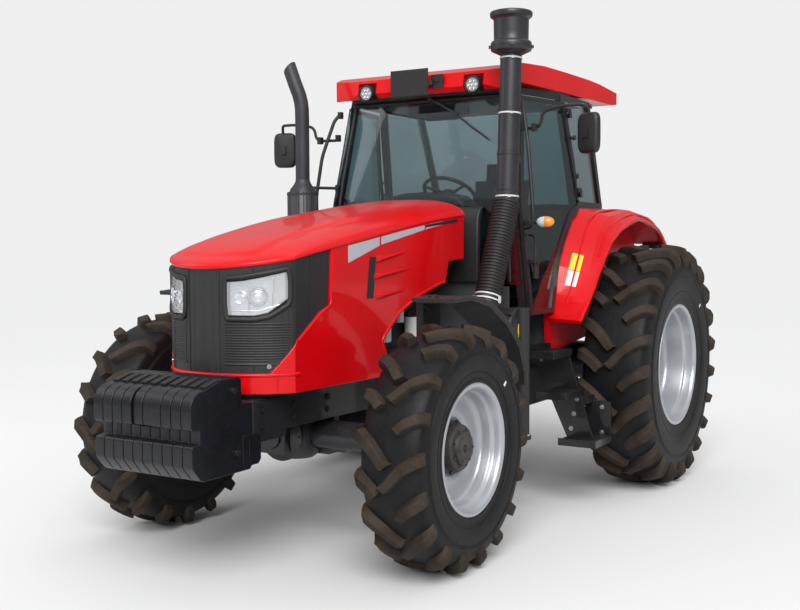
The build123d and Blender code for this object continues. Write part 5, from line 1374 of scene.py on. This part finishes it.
spots = Shape().plug((0.895, -0.040, 1.330), (0, 0, 1), [(0, 0.052), (0.016, 0.052)], 40)
spots.make("drop_tube_cap", "plastic")
ring = Shape().hoop((0.895, -0.040, 0.540), (0, 0, 1), 0.047, 0.0505, 0.008)
ring.make("drop_tube_ring", "filter")
straps = Shape()
for y in (0.34, 0.60, 0.86):
    straps.pipe([(-0.332, y, 0.553), (-0.640, y, 0.553), (-0.697, y, 0.60), (-0.697, y, 0.91),
                 (-0.640, y, 0.957), (-0.332, y, 0.957)], 0.008, 0.05, 10)
straps.plug((-0.60, 0.90, 0.945), (0, 0, 1), [(0, 0.046), (0.024, 0.046), (0.034, 0.040)], 32)
straps.make("tank_straps", "steel")

# ---------------------------------------------------------------- engine bay
filters = Shape()
for y in (-0.850, -0.405):
    filters.plug((0.305, y, 1.126), (0, 0, 1),
                 [(0, 0.040), (0.006, 0.047), (0.14, 0.047), (0.15, 0.049), (0.17, 0.049)], 40)
filters.plug((0.300, -0.72, 1.16), (0, 0, 1),
             [(0, 0.036), (0.006, 0.042), (0.14, 0.042), (0.15, 0.044), (0.165, 0.044)], 36)
filters.plug((0.300, -0.56, 1.27), (0, 0, 1), [(0, 0.030), (0.005, 0.036), (0.11, 0.036), (0.12, CORE)], 36)
filters.make("fuel_filters", "filter")
bay = Shape()
bay.pipe([(0.27, -0.86, 1.36), (0.28, -0.70, 1.40), (0.27, -0.50, 1.40), (0.26, -0.35, 1.42),
          (0.25, -0.10, 1.32)], 0.012, 0.05)
bay.pipe([(0.24, -0.90, 1.05), (0.27, -0.78, 1.09), (0.27, -0.45, 1.10), (0.25, -0.20, 1.08)], 0.010, 0.05)
bay.pipe([(0.20, -1.23, 1.46), (0.22, -1.05, 1.50), (0.15, -0.92, 1.56)], 0.030, 0.06)
bay.pipe([(-0.18, -1.23, 1.12), (-0.22, -1.05, 1.06), (-0.20, -0.90, 1.02)], 0.030, 0.06)
bay.make("bay_hoses", "rubber")
fittings = Shape()
for k in range(6):
    y = -0.80 + k * 0.145
    fittings.box((0.20, y, 1.60), (0.07, 0.10, 0.06))
    fittings.pipe([(0.255, y, 1.47), (0.285, y, 1.50), (0.24, y, 1.57)], 0.007, 0.02)
fittings.plug((0.262, -0.62, 1.02), (1, 0, 0), [(0, 0.075), (0.03, 0.075), (0.05, 0.055)], 32)
fittings.plug((0.262, -0.26, 1.18), (1, 0, 0), [(0, 0.060), (0.045, 0.060), (0.055, 0.045)], 32)
fittings.plug((0, -0.905, 1.00), (0, -1, 0),
              [(0, 0.11), (0.01, 0.115), (0.02, 0.105), (0.03, 0.115), (0.04, 0.11)], 40)
fittings.make("engine_fittings", "iron", bevel=0.003)
axle_bits = Shape()
for t in turns(10):
    axle_bits.bolt((0.135 * cos(t), FRONT_Y - 0.172, FRONT_R + 0.128 * sin(t)), (0, -1, 0), 0.010, 0.009)
COVER = [(0, 0.150), (0.020, 0.150), (0.050, 0.110), (0.062, CORE)]
axle_bits.plug((0, FRONT_Y - 0.150, FRONT_R), (0, -1, 0), COVER, 48)
axle_bits.make("axle_cover", "chassis", angle=40)
caps = Shape()
for z in (0.8375, 0.4925):
    sign = 1 if z > FRONT_R else -1
    caps.plug((0.748, FRONT_Y, z), (0, 0, sign), [(0, 0.056), (0.012, 0.056), (0.020, 0.044)], 32)
    for t in turns(4, pi / 4):
        spot = (0.748 + 0.044 * cos(t), FRONT_Y + 0.044 * sin(t), z + sign * 0.012)
        caps.bolt(spot, (0, 0, sign), 0.007, 0.006)
both(caps, "kingpin_caps", "chassis")
rod_ends = Shape()
for sx in (1, -1):
    rod_ends.plug((sx * 0.718, FRONT_Y + 0.190, 0.582), (0, 0, -1),
                  [(0, 0.028), (0.044, 0.028), (0.052, 0.016), (0.060, 0.016)], 24)
rod_ends.make("rod_end_nuts", "steel", "steering")

# ---------------------------------------------------------------- camera, floor, light
cam = bpy.data.objects.new("camera", bpy.data.cameras.new("camera"))
bpy.context.scene.collection.objects.link(cam)
yaw, pitch, roll = radians(31.59), radians(3.35), radians(-0.24)
look = Vector((-sin(yaw) * cos(pitch), cos(yaw) * cos(pitch), -sin(pitch)))
side = look.cross(Vector((0, 0, 1))).normalized()
up = side.cross(look)
side, up = side * cos(roll) + up * sin(roll), up * cos(roll) - side * sin(roll)
cam.matrix_world = Matrix.Translation((3.856, -6.3205, 1.773)) @ Matrix(
    ((side.x, up.x, -look.x, 0), (side.y, up.y, -look.y, 0), (side.z, up.z, -look.z, 0), (0, 0, 0, 1)))
cam.data.sensor_width = 36
cam.data.lens = 36 * 1099.1 / 800
bpy.context.scene.camera = cam

floor_mat = surface("studio_floor", (0.77, 0.77, 0.77), 0.9, vary=0.004, scale=0.5, spread=0.02)
bpy.ops.mesh.primitive_plane_add(size=60, location=(0, 0, 0))
floor = bpy.context.object
floor.name = "floor"
floor.data.materials.append(floor_mat)

world = bpy.data.worlds.new("studio")
bpy.context.scene.world = world
world.use_nodes = True
tree = world.node_tree
back = tree.nodes["Background"]
coords = add(tree, "ShaderNodeTexCoord").outputs["Generated"]
split = add(tree, "ShaderNodeSeparateXYZ")
tree.links.new(coords, split.inputs[0])
level = ramp(tree, split.outputs["Z"], 0.0, 0.9, 0.0, 1.0)
sky = mix(tree, level, (0.19, 0.19, 0.195), (0.80, 0.805, 0.815))
seen = add(tree, "ShaderNodeLightPath").outputs["Is Camera Ray"]
tree.links.new(mix(tree, seen, sky, (0.87, 0.87, 0.87)), back.inputs["Color"])
back.inputs["Strength"].default_value = 1.0


def lamp(name, place, target, size, power):
    data = bpy.data.lights.new(name, "AREA")
    data.shape = "RECTANGLE"
    data.size, data.size_y = size
    data.energy = power
    ob = bpy.data.objects.new(name, data)
    bpy.context.scene.collection.objects.link(ob)
    ob.location = place
    ob.rotation_mode = "QUATERNION"
    ob.rotation_quaternion = (Vector(target) - Vector(place)).to_track_quat("-Z", "Y")
    return ob


lamp("key", (4.5, -4.5, 6.0), (0, 0, 1.2), (5, 3), 90)
lamp("fill", (-6.0, -4.0, 4.5), (0, 0, 1.2), (4, 5), 60)
sun = bpy.data.objects.new("sun", bpy.data.lights.new("sun", "SUN"))
bpy.context.scene.collection.objects.link(sun)
sun.data.energy = 2.7
sun.data.angle = radians(40)
sun.rotation_euler = (radians(44), radians(34), 0)
bpy.context.scene.view_settings.view_transform = "Standard"
